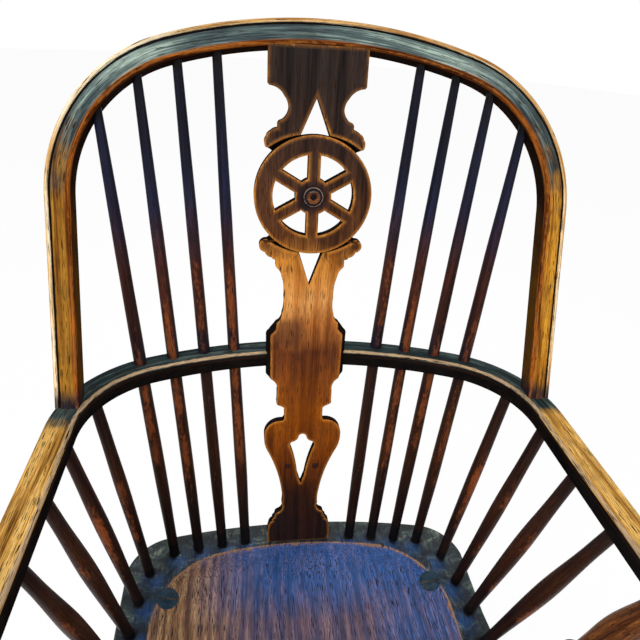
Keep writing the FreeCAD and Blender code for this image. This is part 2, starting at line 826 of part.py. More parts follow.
for end_name in ("rear", "front"):
    for side_name in SIDES:
        leg(end_name, side_name)


def stretcher(name, start, end, widest, cutters):
    """A turned stretcher with a swelled middle between two beads, and a tenon at each end."""
    length = derived(name + "_length", (end - start).Length)
    end_radius = size("stretcher_end_diameter") / 2
    middle = size(widest) / 2
    bead = size("stretcher_bead_diameter") / 2
    width = size("stretcher_bead_width")
    place = size("stretcher_bead_from_end")
    tenon = size("stretcher_tenon_length")
    neck = end_radius * 1.15
    body = turn(name, [
        (-tenon, end_radius, None, 0),
        (ZERO, end_radius, None, 0),
        (place, neck, None, 0),
        (place + width * 0.3, bead, None, 0),
        (place + width * 0.9, bead, None, 0),
        (place + width * 1.2, neck, None, 0),
        (length * 0.4, middle * 0.9, None, 0),
        (length * 0.5, middle, None, 0),
        (length * 0.6, middle * 0.9, None, 0),
        (length - place - width * 1.2, neck, None, 0),
        (length - place - width * 0.9, bead, None, 0),
        (length - place - width * 0.3, bead, None, 0),
        (length - place, neck, None, 0),
        (length, end_radius, None, 0),
        (length + tenon, end_radius, None, 0),
    ])
    body.Placement = along(start, end)
    if not cutters:
        return body
    return cut_away(name, body, cutters)


side_axes = {}
for side_name in SIDES:
    rear_point = leg_point("rear", side_name, size("leg_stretcher_at").value)
    front_point = leg_point("front", side_name, size("leg_stretcher_at").value)
    toward_front = (front_point - rear_point).normalize()
    seat_in = size("leg_stretcher_diameter").value / 2
    side_axes[side_name] = (rear_point + toward_front * seat_in,
                            front_point - toward_front * seat_in)
middles = {name: (ends[0] + ends[1]) * 0.5 for name, ends in side_axes.items()}
cross_in = size("side_stretcher_diameter").value / 2 - 1.0
for side_name, side_sign in SIDES.items():
    inward = Vector(-side_sign, 0, 0)
    cross_face = middles[side_name] + inward * cross_in
    deep = size("stretcher_tenon_length").value + END_GAP.value
    hole = drill("side_stretcher_%s_socket" % side_name, size("stretcher_end_diameter") / 2 + GAP,
                 cross_face - inward * deep, cross_face + inward * 30)
    pieces.append(stretcher("side_stretcher_" + side_name, side_axes[side_name][0],
                            side_axes[side_name][1], "side_stretcher_diameter", [hole]))
pieces.append(stretcher("cross_stretcher", middles["left"] + Vector(cross_in, 0, 0),
                        middles["right"] - Vector(cross_in, 0, 0),
                        "cross_stretcher_diameter", []))

# Splat: one fretted board that stands in the seat, passes in front of the arm bow and ends in
# the soffit of the back bow. Heights are up the board from the seat's top.

splat_front = -size("splat_foot_forward").value
splat_plane = Placement(Vector(0, splat_front, seat_top),
                        Rotation(Vector(1, 0, 0), 90 - size("splat_tilt_angle").value))
splat_body = new_body("splat")
board = size("splat_thickness")
# where the board's face meets the soffit, found along the board
soffit = soffit_point(0.0, 0.0)
up_board = splat_plane.Rotation.multVec(Vector(0, 1, 0))
soffit_height = (soffit - splat_plane.Base).dot(up_board)
top_end = derived("splat_top_end", soffit_height + size("splat_top_tenon").value)
wheel_y = size("wheel_height")
wheel_r = size("wheel_diameter") / 2


def rim_height(width, sign):
    """Height of the wheel's rim at half a width, above or below its centre."""
    half = width.value / 2
    rise = math.sqrt(max(wheel_r.value ** 2 - half ** 2, 0.0))
    return wheel_y.value + sign * rise


horn_half = size("splat_horn_width") / 2
horn_meet = derived("splat_horn_meet", rim_height(size("splat_vase_width"), 1.0))
low_horn_meet = derived("splat_low_horn_meet", rim_height(size("splat_vase_width"), -1.0))
small = size("splat_small_radius")
vase = size("splat_vase_radius")
half_outline = [
    (size("splat_base_width") / 2, -size("splat_seat_tenon"), None, 0),
    (size("splat_base_width") / 2, size("splat_base_height"), small * 2, 1),
    (size("splat_stem_width") / 2, size("splat_stem_height"), vase * 2, 1),
    (size("splat_vase_width") / 2, size("splat_vase_height"), small, -1),
    (size("splat_vase_shoulder_width") / 2, size("splat_vase_shoulder_height"), None, 0),
    (size("splat_neck_width") / 2, size("splat_neck_bottom"), None, 0),
    (size("splat_neck_width") / 2, size("splat_neck_top"), None, 0),
    (size("splat_step_width") / 2, size("splat_step_bottom"), None, 0),
    (size("splat_step_width") / 2, size("splat_step_top"), small, 1),
    (size("splat_shield_width") / 2, size("splat_shield_bottom"), None, 0),
    (size("splat_shield_width") / 2, size("splat_shield_top"), small, -1),
    (size("splat_waist_width") / 2, size("splat_waist_height"), small * 2, 1),
    (size("splat_waist_top_width") / 2, size("splat_waist_top_height"), None, 0),
    (size("splat_lip_width") / 2, size("splat_low_lip_height"), None, 0),
    (horn_half, size("splat_low_horn_height"), None, 0),
    (size("splat_vase_width") / 2, low_horn_meet, wheel_r, -1),
    (size("splat_vase_width") / 2, horn_meet, None, 0),
    (horn_half, size("splat_horn_height"), None, 0),
    (size("splat_lip_width") / 2, size("splat_lip_rise"), small * 0.55, 1),
    (size("splat_notch_width") / 2, size("splat_notch_height"), small * 0.75, 1),
    (size("splat_top_width") / 2, size("splat_top_height"), None, 0),
    (size("splat_top_width") / 2, top_end, None, 0),
]
corners = list(half_outline)
for index in range(len(half_outline) - 1, -1, -1):
    x, y, _, _ = half_outline[index]
    bend, side = (None, 0) if index == 0 else half_outline[index - 1][2:]
    corners.append((-x, y, bend, side))
outline = draw_outline(splat_body, "splat_outline", "XY_Plane", corners)
pad(splat_body, outline, board, downward=True)
rim_sketch = splat_body.newObject("Sketcher::SketchObject", "wheel_disc")
rim_sketch.AttachmentSupport = [(
    [f for f in splat_body.Origin.OriginFeatures if f.Role == "XY_Plane"][0], "")]
rim_sketch.MapMode = "FlatFace"
rim_sketch.addGeometry(Part.Circle(Vector(0, wheel_y.value, 0), Vector(0, 0, 1),
                                   wheel_r.value), False)
rim_sketch.addConstraint(Sketcher.Constraint("PointOnObject", 0, 3, -2))
number = rim_sketch.addConstraint(Sketcher.Constraint("DistanceY", -1, 1, 0, 3, wheel_y.value))
rim_sketch.setExpression("Constraints[%d]" % number, wheel_y.text)
number = rim_sketch.addConstraint(Sketcher.Constraint("Radius", 0, wheel_r.value))
rim_sketch.setExpression("Constraints[%d]" % number, wheel_r.text)
pad(splat_body, rim_sketch, size("wheel_stand_proud"))


def pocket(body, sketch, depth):
    """Cuts the sketch through the board, front and back."""
    before = body.Tip.Shape.Volume
    sketch.recompute()
    feature = body.newObject("PartDesign::Pocket", sketch.Name + "_cut")
    feature.Profile = sketch
    feature.Midplane = True
    feature.Length = depth.value
    feature.setExpression("Length", depth.text)
    feature.recompute()
    assert body.Tip.Shape.Volume < before - 1.0, sketch.Name
    return feature


for feature in splat_body.Group:
    feature.recompute()
through_board = board * 4
pierced = [
    ("triangle", [
        (size("triangle_width") / 2, size("triangle_bottom"), None, 0),
        (ZERO, size("triangle_top"), None, 0),
        (-size("triangle_width") / 2, size("triangle_bottom"), None, 0),
    ]),
    ("vee", [
        (size("vee_width") / 2, size("vee_top"), wheel_r, 1),
        (-size("vee_width") / 2, size("vee_top"), None, 0),
        (ZERO, size("vee_bottom"), None, 0),
    ]),
    ("keyhole", [
        (ZERO, size("keyhole_bottom"), vase * 2, -1),
        (size("keyhole_width") / 2, size("keyhole_shoulder"), small * 0.9, -1),
        (ZERO, size("keyhole_top"), small * 0.9, -1),
        (-size("keyhole_width") / 2, size("keyhole_shoulder"), vase * 2, -1),
    ]),
]
for hole_name, hole_corners in pierced:
    hole_sketch = draw_outline(splat_body, hole_name, "XY_Plane", hole_corners)
    pocket(splat_body, hole_sketch, through_board)

# one opening of the wheel between two spokes, repeated round the hub
hub = size("wheel_hub_diameter") / 2
inner_rim = wheel_r - size("wheel_rim_width")
half_spoke = size("wheel_spoke_width").value / 2


def sector_corner(radius, angle_sign, label):
    """The corner where a spoke's side meets a circle about the hub."""
    spoke = math.radians(30.0 if angle_sign < 0 else 90.0)
    turned = math.asin(half_spoke / radius.value)
    angle = spoke - angle_sign * turned
    x = derived("sector_%s_x" % label, radius.value * math.cos(angle))
    y = derived("sector_%s_y" % label, wheel_y.value + radius.value * math.sin(angle))
    return x, y


low_in = sector_corner(hub, -1, "low_in")
low_out = sector_corner(inner_rim, -1, "low_out")
high_out = sector_corner(inner_rim, 1, "high_out")
high_in = sector_corner(hub, 1, "high_in")
sector = draw_outline(splat_body, "wheel_opening", "XY_Plane", [
    (low_in[0], low_in[1], None, 0),
    (low_out[0], low_out[1], inner_rim, -1),
    (high_out[0], high_out[1], None, 0),
    (high_in[0], high_in[1], hub, 1),
])
first_opening = pocket(splat_body, sector, through_board)
hub_axis = splat_body.newObject("PartDesign::Line", "hub_axis")
hub_axis.AttachmentSupport = [(
    [f for f in splat_body.Origin.OriginFeatures if f.Role == "Z_Axis"][0], "")]
hub_axis.MapMode = "Deactivated"
hub_axis.Placement = Placement(Vector(0, wheel_y.value, 0), Rotation())
hub_axis.setExpression("Placement.Base.y", wheel_y.text)
ring_of_openings = splat_body.newObject("PartDesign::PolarPattern", "wheel_openings")
ring_of_openings.Originals = [first_opening]
ring_of_openings.Axis = (hub_axis, [""])
ring_of_openings.Angle = 360
ring_of_openings.Occurrences = 6
splat_body.Tip = ring_of_openings
splat_body.Placement = splat_plane

# seat mortise, soffit mortise and the hub's socket for the boss
mortise_width = size("splat_base_width") + GAP * 2
mortise_depth = board + GAP * 2
splat_middle = splat_plane.multVec(Vector(0, 0, -board.value / 2))
board_turn = Rotation(Vector(1, 0, 0), -size("splat_tilt_angle").value)
seat_cutters.append(box_cutter(
    "splat_seat_mortise", mortise_width, mortise_depth, size("splat_seat_tenon") + END_GAP + 10,
    Placement(splat_middle - up_board * (size("splat_seat_tenon").value + END_GAP.value),
              board_turn)))
bow_cutters.append(box_cutter(
    "splat_bow_mortise", size("splat_top_width") + GAP * 2, mortise_depth,
    size("splat_top_tenon") * 3,
    Placement(splat_middle + up_board * (top_end.value + END_GAP.value
                                         - size("splat_top_tenon").value * 3), board_turn)))
proud = size("wheel_stand_proud")
hub_front = splat_plane.multVec(Vector(0, wheel_y.value, proud.value))
outward = splat_plane.Rotation.multVec(Vector(0, 0, 1))
spigot = size("boss_spigot_diameter") / 2
spigot_length = size("boss_spigot_length")
boss_socket = drill("splat_boss_socket", spigot + GAP,
                    hub_front - outward * (spigot_length.value + END_GAP.value),
                    hub_front + outward * 10)
pieces.append(cut_away("splat", splat_body, [boss_socket]))
rise = size("boss_height")
ring_half = size("boss_ring_diameter") / 2
boss_half = size("boss_diameter") / 2
boss = turn("splat_boss", [
    (-spigot_length, spigot, None, 0),
    (ZERO, spigot, None, 0),
    (ZERO, boss_half, None, 0),
    (rise * 0.4, boss_half, None, 0),
    (rise * 0.7, boss_half * 0.82, None, 0),
    (rise * 0.45, ring_half * 1.1, None, 0),
    (rise, ring_half * 0.85, None, 0),
    (rise, size("boss_eye_diameter") / 2, None, 0),
    (rise * 0.6, size("boss_eye_diameter") / 2, None, 0),
])
boss.Placement = Placement(hub_front, Rotation(Vector(0, 0, 1), outward))
pieces.append(boss)

# Back bow: a moulded section carried round the bow, cut to the arm bow at its feet

centre_half = bow_half - bow_face / 2
centre_rise = bow_rise - bow_face / 2
centre_crown = bow_crown - bow_face / 2
centre_corner = bow_corner - bow_face / 2
side_end, touch, _, _ = bow_curve(centre_half.value, centre_rise.value, centre_crown.value,
                                  centre_corner.value)
side_height = derived("bow_side_height", side_end)
touch_x = derived("bow_touch_x", touch.x)
touch_y = derived("bow_touch_y", touch.y)
bow_body = new_body("back_bow")
below = -size("bow_tenon_length")
path = bow_body.newObject("Sketcher::SketchObject", "back_bow_path")
path.AttachmentSupport = [(
    [f for f in bow_body.Origin.OriginFeatures if f.Role == "XY_Plane"][0], "")]
path.MapMode = "FlatFace"
path_points = [
    (-centre_half, below, None, 0),
    (-centre_half, side_height, centre_corner, 1),
    (-touch_x, touch_y, centre_crown, 1),
    (touch_x, touch_y, centre_corner, 1),
    (centre_half, side_height, None, 0),
    (centre_half, below, None, 0),
]
path_ends = []
for index in range(len(path_points) - 1):
    here, there = path_points[index], path_points[index + 1]
    start = Vector(here[0].value, here[1].value, 0)
    end = Vector(there[0].value, there[1].value, 0)
    if here[2] is None:
        path_ends.append((path.addGeometry(Part.LineSegment(start, end), False), 1, 2))
        continue
    centre = arc_centre(start, end, here[2].value, here[3])
    circle = Part.Circle(centre, Vector(0, 0, 1), here[2].value)
    angles = [math.atan2(p.y - centre.y, p.x - centre.x) for p in (end, start)]
    if angles[1] < angles[0]:
        angles[1] += 2.0 * math.pi
    path_ends.append((path.addGeometry(Part.ArcOfCircle(circle, angles[0], angles[1]), False),
                      2, 1))
for index in range(len(path_ends) - 1):
    edge, _, tail = path_ends[index]
    following, head, _ = path_ends[index + 1]
    path.addConstraint(Sketcher.Constraint("Coincident", edge, tail, following, head))
for index, point in enumerate(path_points):
    edge, head, tail = path_ends[min(index, len(path_ends) - 1)]
    at_end = head if index < len(path_ends) else tail
    for kind, place in (("DistanceX", point[0]), ("DistanceY", point[1])):
        number = path.addConstraint(Sketcher.Constraint(kind, -1, 1, edge, at_end, place.value))
        path.setExpression("Constraints[%d]" % number, place.text)
    if index < len(path_ends) and point[2] is not None:
        number = path.addConstraint(Sketcher.Constraint("Radius", edge, point[2].value))
        path.setExpression("Constraints[%d]" % number, point[2].text)

half_face = bow_face / 2
half_depth = bow_depth / 2
bead = size("bow_bead_width")
groove = size("bow_groove_width")
groove_depth = size("bow_groove_depth")
round_in = size("bow_inner_round")
# section across the left foot: x from the outer edge to the soffit, y toward the front
outer_x = -(centre_half + half_face)
inner_x = half_face - centre_half
section = draw_outline(bow_body, "back_bow_section", "XZ_Plane", [
    (outer_x, -half_depth, None, 0),
    (inner_x, -half_depth, None, 0),
    (inner_x, half_depth - round_in, None, 0),
    (inner_x - round_in * 0.35, half_depth - round_in * 0.3, None, 0),
    (inner_x - round_in, half_depth, None, 0),
    (outer_x + bead + groove, half_depth, None, 0),
    (outer_x + bead + groove * 0.5, half_depth - groove_depth, None, 0),
    (outer_x + bead, half_depth - groove_depth * 0.3, bead * 0.62, 1),
    (outer_x, half_depth - groove_depth, None, 0),
])
section.AttachmentOffset = Placement(Vector(0, 0, -below.value), Rotation())
section.setExpression("AttachmentOffset.Base.z", (-below).text)
pipe = bow_body.newObject("PartDesign::AdditivePipe", "back_bow_pipe")
pipe.Profile = section
pipe.Spine = (path, [])
pipe.Mode = "Standard"
bow_body.Placement = bow_plane

foot_cut = doc.addObject("Part::Box", "bow_foot_cut")
foot_cut.Length = 2000
foot_cut.Width = 400
foot_cut.Height = 200
foot_cut.Placement = arm_plane.multiply(Placement(Vector(-1000, -250, -200), Rotation()))
bow_trimmed = cut_away("back_bow_bent", bow_body, [foot_cut] + bow_cutters)
tenon_radius = size("bow_tenon_diameter") / 2
tenon_length = size("bow_tenon_length")
# each pin goes in at the arm bow's inner face and ends just past the tenon
pin_length = (centre_half.value - arm_half.value + arm_section.value + tenon_radius.value
              + size("bow_pin_past_tenon").value)
bow_tenons = []
pin_holes = []
for side_name, side_sign in SIDES.items():
    foot = arm_plane.multVec(Vector(side_sign * centre_half.value,
                                    -size("back_bow_foot_setback").value, 0))
    bow_up = bow_plane.Rotation.multVec(Vector(0, 1, 0))
    low = foot - bow_up * tenon_length.value
    bow_tenons.append(drill("bow_tenon_" + side_name, tenon_radius, low,
                            foot + bow_up * tenon_length.value))
    arm_cutters.append(drill("bow_tenon_mortise_" + side_name, tenon_radius + GAP,
                             low - bow_up * END_GAP.value, foot + bow_up * 10))
    inner_face = arm_plane.multVec(Vector(
        side_sign * (arm_half.value - arm_section.value),
        -size("back_bow_foot_setback").value - tenon_length.value / 2
        * math.sin(math.radians(size("back_rake_angle").value)), -arm_thickness.value / 2))
    into = Vector(side_sign, 0, 0)
    pin = drill("bow_pin_" + side_name, size("bow_pin_diameter") / 2, inner_face - into * 0.5,
                inner_face + into * pin_length)
    pin.Label = pin.Name
    pieces.append(pin)
    pin_hole = drill("bow_pin_hole_" + side_name, size("bow_pin_diameter") / 2 + GAP,
                     inner_face - into * 10,
                     inner_face + into * (pin_length + END_GAP.value))
    arm_cutters.append(pin_hole)
    pin_holes.append(pin_hole)
bow_whole = doc.addObject("Part::MultiFuse", "back_bow_with_tenons")
bow_whole.Shapes = [bow_trimmed] + bow_tenons
pieces.append(cut_away("back_bow", bow_whole, pin_holes))

# Arm bow: a flat bent hoop with rounded ends

arm_inner_half = arm_half - arm_section
arm_side, arm_touch, _, _ = bow_curve(arm_half.value, arm_rear.value, arm_crown.value,
                                      arm_corner.value)
inside = arm_section.value
_, arm_touch_in, _, _ = bow_curve(arm_inner_half.value, arm_rear.value - inside,
                                  arm_crown.value - inside, arm_corner.value - inside)
arm_side_y = derived("arm_side_y", arm_side)
arm_touch_x = derived("arm_touch_x", arm_touch.x)
arm_touch_y = derived("arm_touch_y", arm_touch.y)
arm_touch_in_x = derived("arm_touch_in_x", arm_touch_in.x)
arm_touch_in_y = derived("arm_touch_in_y", arm_touch_in.y)
arm_body = new_body("arm_bow")
end_round = arm_section / 2
arm_outline = draw_outline(arm_body, "arm_bow_outline", "XY_Plane", [
    (arm_half, -arm_front, None, 0),
    (arm_half, arm_side_y, arm_corner, -1),
    (arm_touch_x, arm_touch_y, arm_crown, -1),
    (-arm_touch_x, arm_touch_y, arm_corner, -1),
    (-arm_half, arm_side_y, None, 0),
    (-arm_half, -arm_front, end_round * 1.0001, -1),
    (-arm_inner_half, -arm_front, None, 0),
    (-arm_inner_half, arm_side_y, arm_corner - arm_section, 1),
    (-arm_touch_in_x, arm_touch_in_y, arm_crown - arm_section, 1),
    (arm_touch_in_x, arm_touch_in_y, arm_corner - arm_section, 1),
    (arm_inner_half, arm_side_y, None, 0),
    (arm_inner_half, -arm_front, end_round * 1.0001, -1),
])
arm_pad = pad(arm_body, arm_outline, arm_thickness, downward=True)
arm_outline.recompute()
arm_pad.recompute()


def edges_where(shape, test):
    """Names of the edges whose every point passes the test."""
    names = []
    for index, edge in enumerate(shape.Edges, start=1):
        first, last = edge.ParameterRange
        points = [edge.valueAt(first + (last - first) * step / 4.0) for step in range(5)]
        if all(test(point) for point in points):
            names.append("Edge%d" % index)
    return names


eased = arm_body.newObject("PartDesign::Chamfer", "arm_bow_eased_edges")
eased.Base = (arm_pad, edges_where(
    arm_pad.Shape, lambda p: min(abs(p.z), abs(p.z + arm_thickness.value)) < 1e-6))
eased.Size = size("arm_edge_ease").value
eased.setExpression("Size", "Sizes.arm_edge_ease")
arm_body.Placement = arm_plane
pieces.append(cut_away("arm_bow", arm_body, arm_cutters))

# Seat: one board, bevelled below, dished into a saddle in front of the spindles

seat_body = new_body("seat")
rear_half = size("seat_rear_width") / 2
front_half = size("seat_front_width") / 2
rear_y = size("seat_rear_reach")
corner_w = size("seat_rear_corner_width")
corner_d = size("seat_rear_corner_depth")
rear_drop = derived("seat_rear_drop", size("seat_rear_radius").value - math.sqrt(
    size("seat_rear_radius").value ** 2 - (rear_half.value - corner_w.value) ** 2))
front_y = rear_y - size("seat_depth")
front_corner_x = front_half - size("seat_front_corner_width")
front_rise = derived("seat_front_rise", size("seat_front_radius").value - math.sqrt(
    size("seat_front_radius").value ** 2 - front_corner_x.value ** 2))
waist_y = rear_y - corner_d - size("seat_waist_length")
shoulder_y = front_y + size("seat_front_corner_depth")


def seat_corners(inset):
    """The corners of the seat's outline, drawn in all round by an inset."""
    right = [
        (front_corner_x - inset * 0.4, front_y + front_rise + inset,
         size("seat_front_corner_radius") - inset * 0.6, -1),
        (front_half - inset, shoulder_y + inset * 0.4, None, 0),
        (rear_half - inset, waist_y, None, 0),
        (rear_half - inset, rear_y - corner_d - inset * 0.4,
         size("seat_rear_corner_radius") - inset * 0.6, -1),
        (rear_half - corner_w - inset * 0.4, rear_y - rear_drop - inset,
         size("seat_rear_radius"), -1),
    ]
    corners = list(right)
    for index in range(len(right) - 1, -1, -1):
        x, y, _, _ = right[index]
        bend, side = (size("seat_front_radius"), -1) if index == 0 else right[index - 1][2:]
        corners.append((-x, y, bend, side))
    return corners


bevel_height = size("seat_under_bevel_height")
straight_edge = size("seat_thickness") - bevel_height
seat_outline = draw_outline(seat_body, "seat_outline", "XY_Plane", seat_corners(ZERO))
seat_pad = pad(seat_body, seat_outline, straight_edge, downward=True)
seat_outline.recompute()
seat_pad.recompute()
seat_round = seat_body.newObject("PartDesign::Fillet", "seat_edge_round")
seat_round.Base = (seat_pad, edges_where(seat_pad.Shape, lambda p: abs(p.z) < 1e-6))
seat_round.Radius = size("seat_edge_round").value
seat_round.setExpression("Radius", "Sizes.seat_edge_round")
bevel_top = draw_outline(seat_body, "seat_bevel_top", "XY_Plane", seat_corners(ZERO),
                         -straight_edge)
bevel_low = draw_outline(seat_body, "seat_bevel_low", "XY_Plane",
                         seat_corners(size("seat_under_bevel")), -size("seat_thickness"))
bevel = seat_body.newObject("PartDesign::AdditiveLoft", "seat_bevel")
bevel.Profile = bevel_top
bevel.Sections = [bevel_low]
bevel.Ruled = True
seat_body.Placement = Placement(Vector(0, 0, seat_top), Rotation())


pieces.append(cut_away("seat", seat_body, seat_cutters))

# Stand the finished chair over the middle of its footprint, check it and write it



def overall_box():
    """The bounding box of all pieces, from points on their surfaces."""
    found = FreeCAD.BoundBox()
    for piece in pieces:
        for point in piece.Shape.tessellate(0.5)[0]:
            found.add(point)
    return found


doc.recompute()
overall = overall_box()
shift = Vector(0, -(overall.YMin + overall.YMax) / 2, 0)
for piece in pieces:
    piece.Placement = Placement(shift, Rotation()).multiply(piece.Placement)
doc.recompute()

for item in doc.Objects:
    if "Invalid" in item.State or "Error" in item.State:
        raise RuntimeError("%s did not build: %s" % (item.Label, item.State))
for piece in pieces:
    if piece.Shape.isNull() or not piece.Shape.isValid() or len(piece.Shape.Solids) != 1:
        raise RuntimeError("%s is not one valid solid" % piece.Label)
    piece.Shape.exportStep("parts/%s.step" % piece.Label)
box = overall_box()
print("pieces: %d" % len(pieces))
print("overall: %.1f x %.1f x %.1f mm, moved %.2f mm in Y" % (
    box.XLength, box.YLength, box.ZLength, shift.y))
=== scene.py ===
import logging
import math
from collections.abc import Callable, Sequence
from dataclasses import dataclass, field
from enum import Enum

import bmesh
import bpy
from bmesh.types import BMEdge, BMesh, BMFace, BMVert
from bpy.types import Material, Node, NodeSocket, NodeTree, Object
from mathutils import Matrix, Vector, noise


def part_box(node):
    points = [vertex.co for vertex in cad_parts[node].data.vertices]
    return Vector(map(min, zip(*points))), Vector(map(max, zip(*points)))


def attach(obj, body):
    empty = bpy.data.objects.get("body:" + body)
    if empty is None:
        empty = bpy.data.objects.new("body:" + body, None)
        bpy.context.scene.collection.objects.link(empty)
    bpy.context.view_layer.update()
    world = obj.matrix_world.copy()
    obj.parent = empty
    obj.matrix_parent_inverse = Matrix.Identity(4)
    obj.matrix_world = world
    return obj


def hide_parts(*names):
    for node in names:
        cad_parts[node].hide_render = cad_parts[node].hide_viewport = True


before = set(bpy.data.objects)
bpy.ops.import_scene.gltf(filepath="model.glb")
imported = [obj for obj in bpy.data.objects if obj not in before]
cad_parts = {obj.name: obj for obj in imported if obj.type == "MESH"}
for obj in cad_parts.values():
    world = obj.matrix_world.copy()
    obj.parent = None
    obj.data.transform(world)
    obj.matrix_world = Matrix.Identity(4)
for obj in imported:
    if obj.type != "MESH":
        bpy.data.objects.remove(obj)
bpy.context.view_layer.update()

Colour = tuple[float, float, float]

MM = 0.001
MERGE = 1e-6
SEAT_REAR_REACH = 25.0 * MM
SEAT_TOP = 430.0 * MM
SUNK = 2.0 * MM
# the CAD moves the chair along Y to stand over the middle of its footprint
CHAIR_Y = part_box("seat")[1].y - SEAT_REAR_REACH

log = logging.getLogger("wheelback_chair")


class Slot(Enum):
    """The material slots of the record."""
    SEAT = "elm_seat"
    ARM_BOW = "arm_bow_ash"
    BACK_BOW = "back_bow_ash"
    SPLAT = "splat_beech"
    SPINDLE = "spindle_ash"
    TURNED = "turned_beech"
    WEDGE = "wedge_oak"


class Side(Enum):
    """The chair's two sides, as the photograph shows them."""
    LEFT = -1
    RIGHT = 1

    @property
    def word(self) -> str:
        """The side's name in lower case."""
        return self.name.lower()


# Shapes that the pieces are made from


@dataclass(frozen=True)
class Corner:
    """One corner of an outline that runs counter-clockwise.

    The edge that leaves it is straight, or with a bend in metres it is an arc of that radius,
    round where the bend is positive and hollow where it is negative.
    """
    x: float
    y: float
    bend: float = 0.0


def corners_mm(*rows: tuple[float, ...]) -> list[Corner]:
    """Corners from rows of millimetres."""
    return [Corner(*(value * MM for value in row)) for row in rows]


def mirrored(half: Sequence[Corner], closing_bend: float = 0.0) -> list[Corner]:
    """The whole outline of which the right half, from bottom to top, is given.

    Args:
        half: the right half's corners.
        closing_bend: the bend of the edge that closes the outline at the bottom.

    Returns:
        The corners of the right half and of its mirror image.
    """
    whole = list(half)
    for index in range(len(half) - 1, -1, -1):
        bend = closing_bend if index == 0 else half[index - 1].bend
        whole.append(Corner(-half[index].x, half[index].y, bend))
    return whole


def trace(shape: BMesh, corners: Sequence[Corner], level: float, arc_step: float,
          run_step: float = 1.0) -> list[BMEdge]:
    """Draws a closed outline by extruding and spinning one vertex from corner to corner.

    Args:
        shape: the mesh that is drawn into.
        corners: the outline's corners.
        level: the height of the outline.
        arc_step: the longest edge on an arc.
        run_step: the longest edge on a straight run.

    Returns:
        The outline's edges.
    """
    first = shape.verts.new((corners[0].x, corners[0].y, level))
    made = [first]
    for index, corner in enumerate(corners):
        following = corners[(index + 1) % len(corners)]
        start = Vector((corner.x, corner.y, level))
        end = Vector((following.x, following.y, level))
        chord = end - start
        if corner.bend:
            radius, half = abs(corner.bend), chord.length / 2
            sign = math.copysign(1, corner.bend)
            toward = Vector((-chord.y, chord.x, 0)).normalized() * sign
            centre = (start + end) / 2 + toward * math.sqrt(max(radius ** 2 - half ** 2, 0.0))
            angle = 2 * math.asin(min(half / radius, 1.0)) * sign
            steps = max(2, math.ceil(abs(angle) * radius / arc_step))
            bmesh.ops.spin(shape, geom=[made[-1]], cent=centre, axis=(0, 0, 1), angle=angle,
                           steps=steps)
            shape.verts.ensure_lookup_table()
            made.extend(shape.verts[len(shape.verts) - steps:])
        else:
            steps = max(1, math.ceil(chord.length / run_step))
            for number in range(1, steps + 1):
                grown = bmesh.ops.extrude_vert_indiv(shape, verts=[made[-1]])["verts"][0]
                grown.co = start + chord * (number / steps)
                made.append(grown)
    shape.verts.ensure_lookup_table()
    bmesh.ops.weld_verts(shape, targetmap={made[-1]: first})
    loop = set(made[:-1])
    return [edge for edge in shape.edges if edge.verts[0] in loop and edge.verts[1] in loop]


def grow(shape: BMesh, edges: list[BMEdge]) -> tuple[list[BMVert], list[BMEdge]]:
    """Extrudes edges where they lie.

    Args:
        shape: the mesh that holds the edges.
        edges: the edges to extrude.

    Returns:
        The new points, and the new edges between them.
    """
    grown = bmesh.ops.extrude_edge_only(shape, edges=edges)["geom"]
    points = [part for part in grown if isinstance(part, BMVert)]
    fresh = set(points)
    return points, [part for part in grown if isinstance(part, BMEdge)
                    and fresh.issuperset(part.verts)]


def run(shape: BMesh, edges: list[BMEdge], way: Vector, step: float) -> list[BMEdge]:
    """Extrudes edges along a straight run in equal steps.

    Args:
        shape: the mesh that holds the edges.
        edges: the edges to extrude.
        way: the whole run.
        step: the longest step.

    Returns:
        The edges at the end of the run.
    """
    steps = max(1, math.ceil(way.length / step))
    for _ in range(steps):
        points, edges = grow(shape, edges)
        bmesh.ops.translate(shape, vec=way / steps, verts=points)
    return edges


def fill(shape: BMesh, edges: list[BMEdge]) -> list[BMFace]:
    """Fills closed loops of edges, less their holes, with triangles."""
    made = bmesh.ops.triangle_fill(shape, edges=edges, use_beauty=True)["geom"]
    return [part for part in made if isinstance(part, BMFace)]


def inset(shape: BMesh, faces: list[BMFace], width: float, rise: float = 0.0) -> None:
    """Draws a flat region's edge in by a width and lifts the region by a rise."""
    bmesh.ops.inset_region(shape, faces=faces, thickness=width, depth=rise, use_boundary=True,
                           use_even_offset=True)


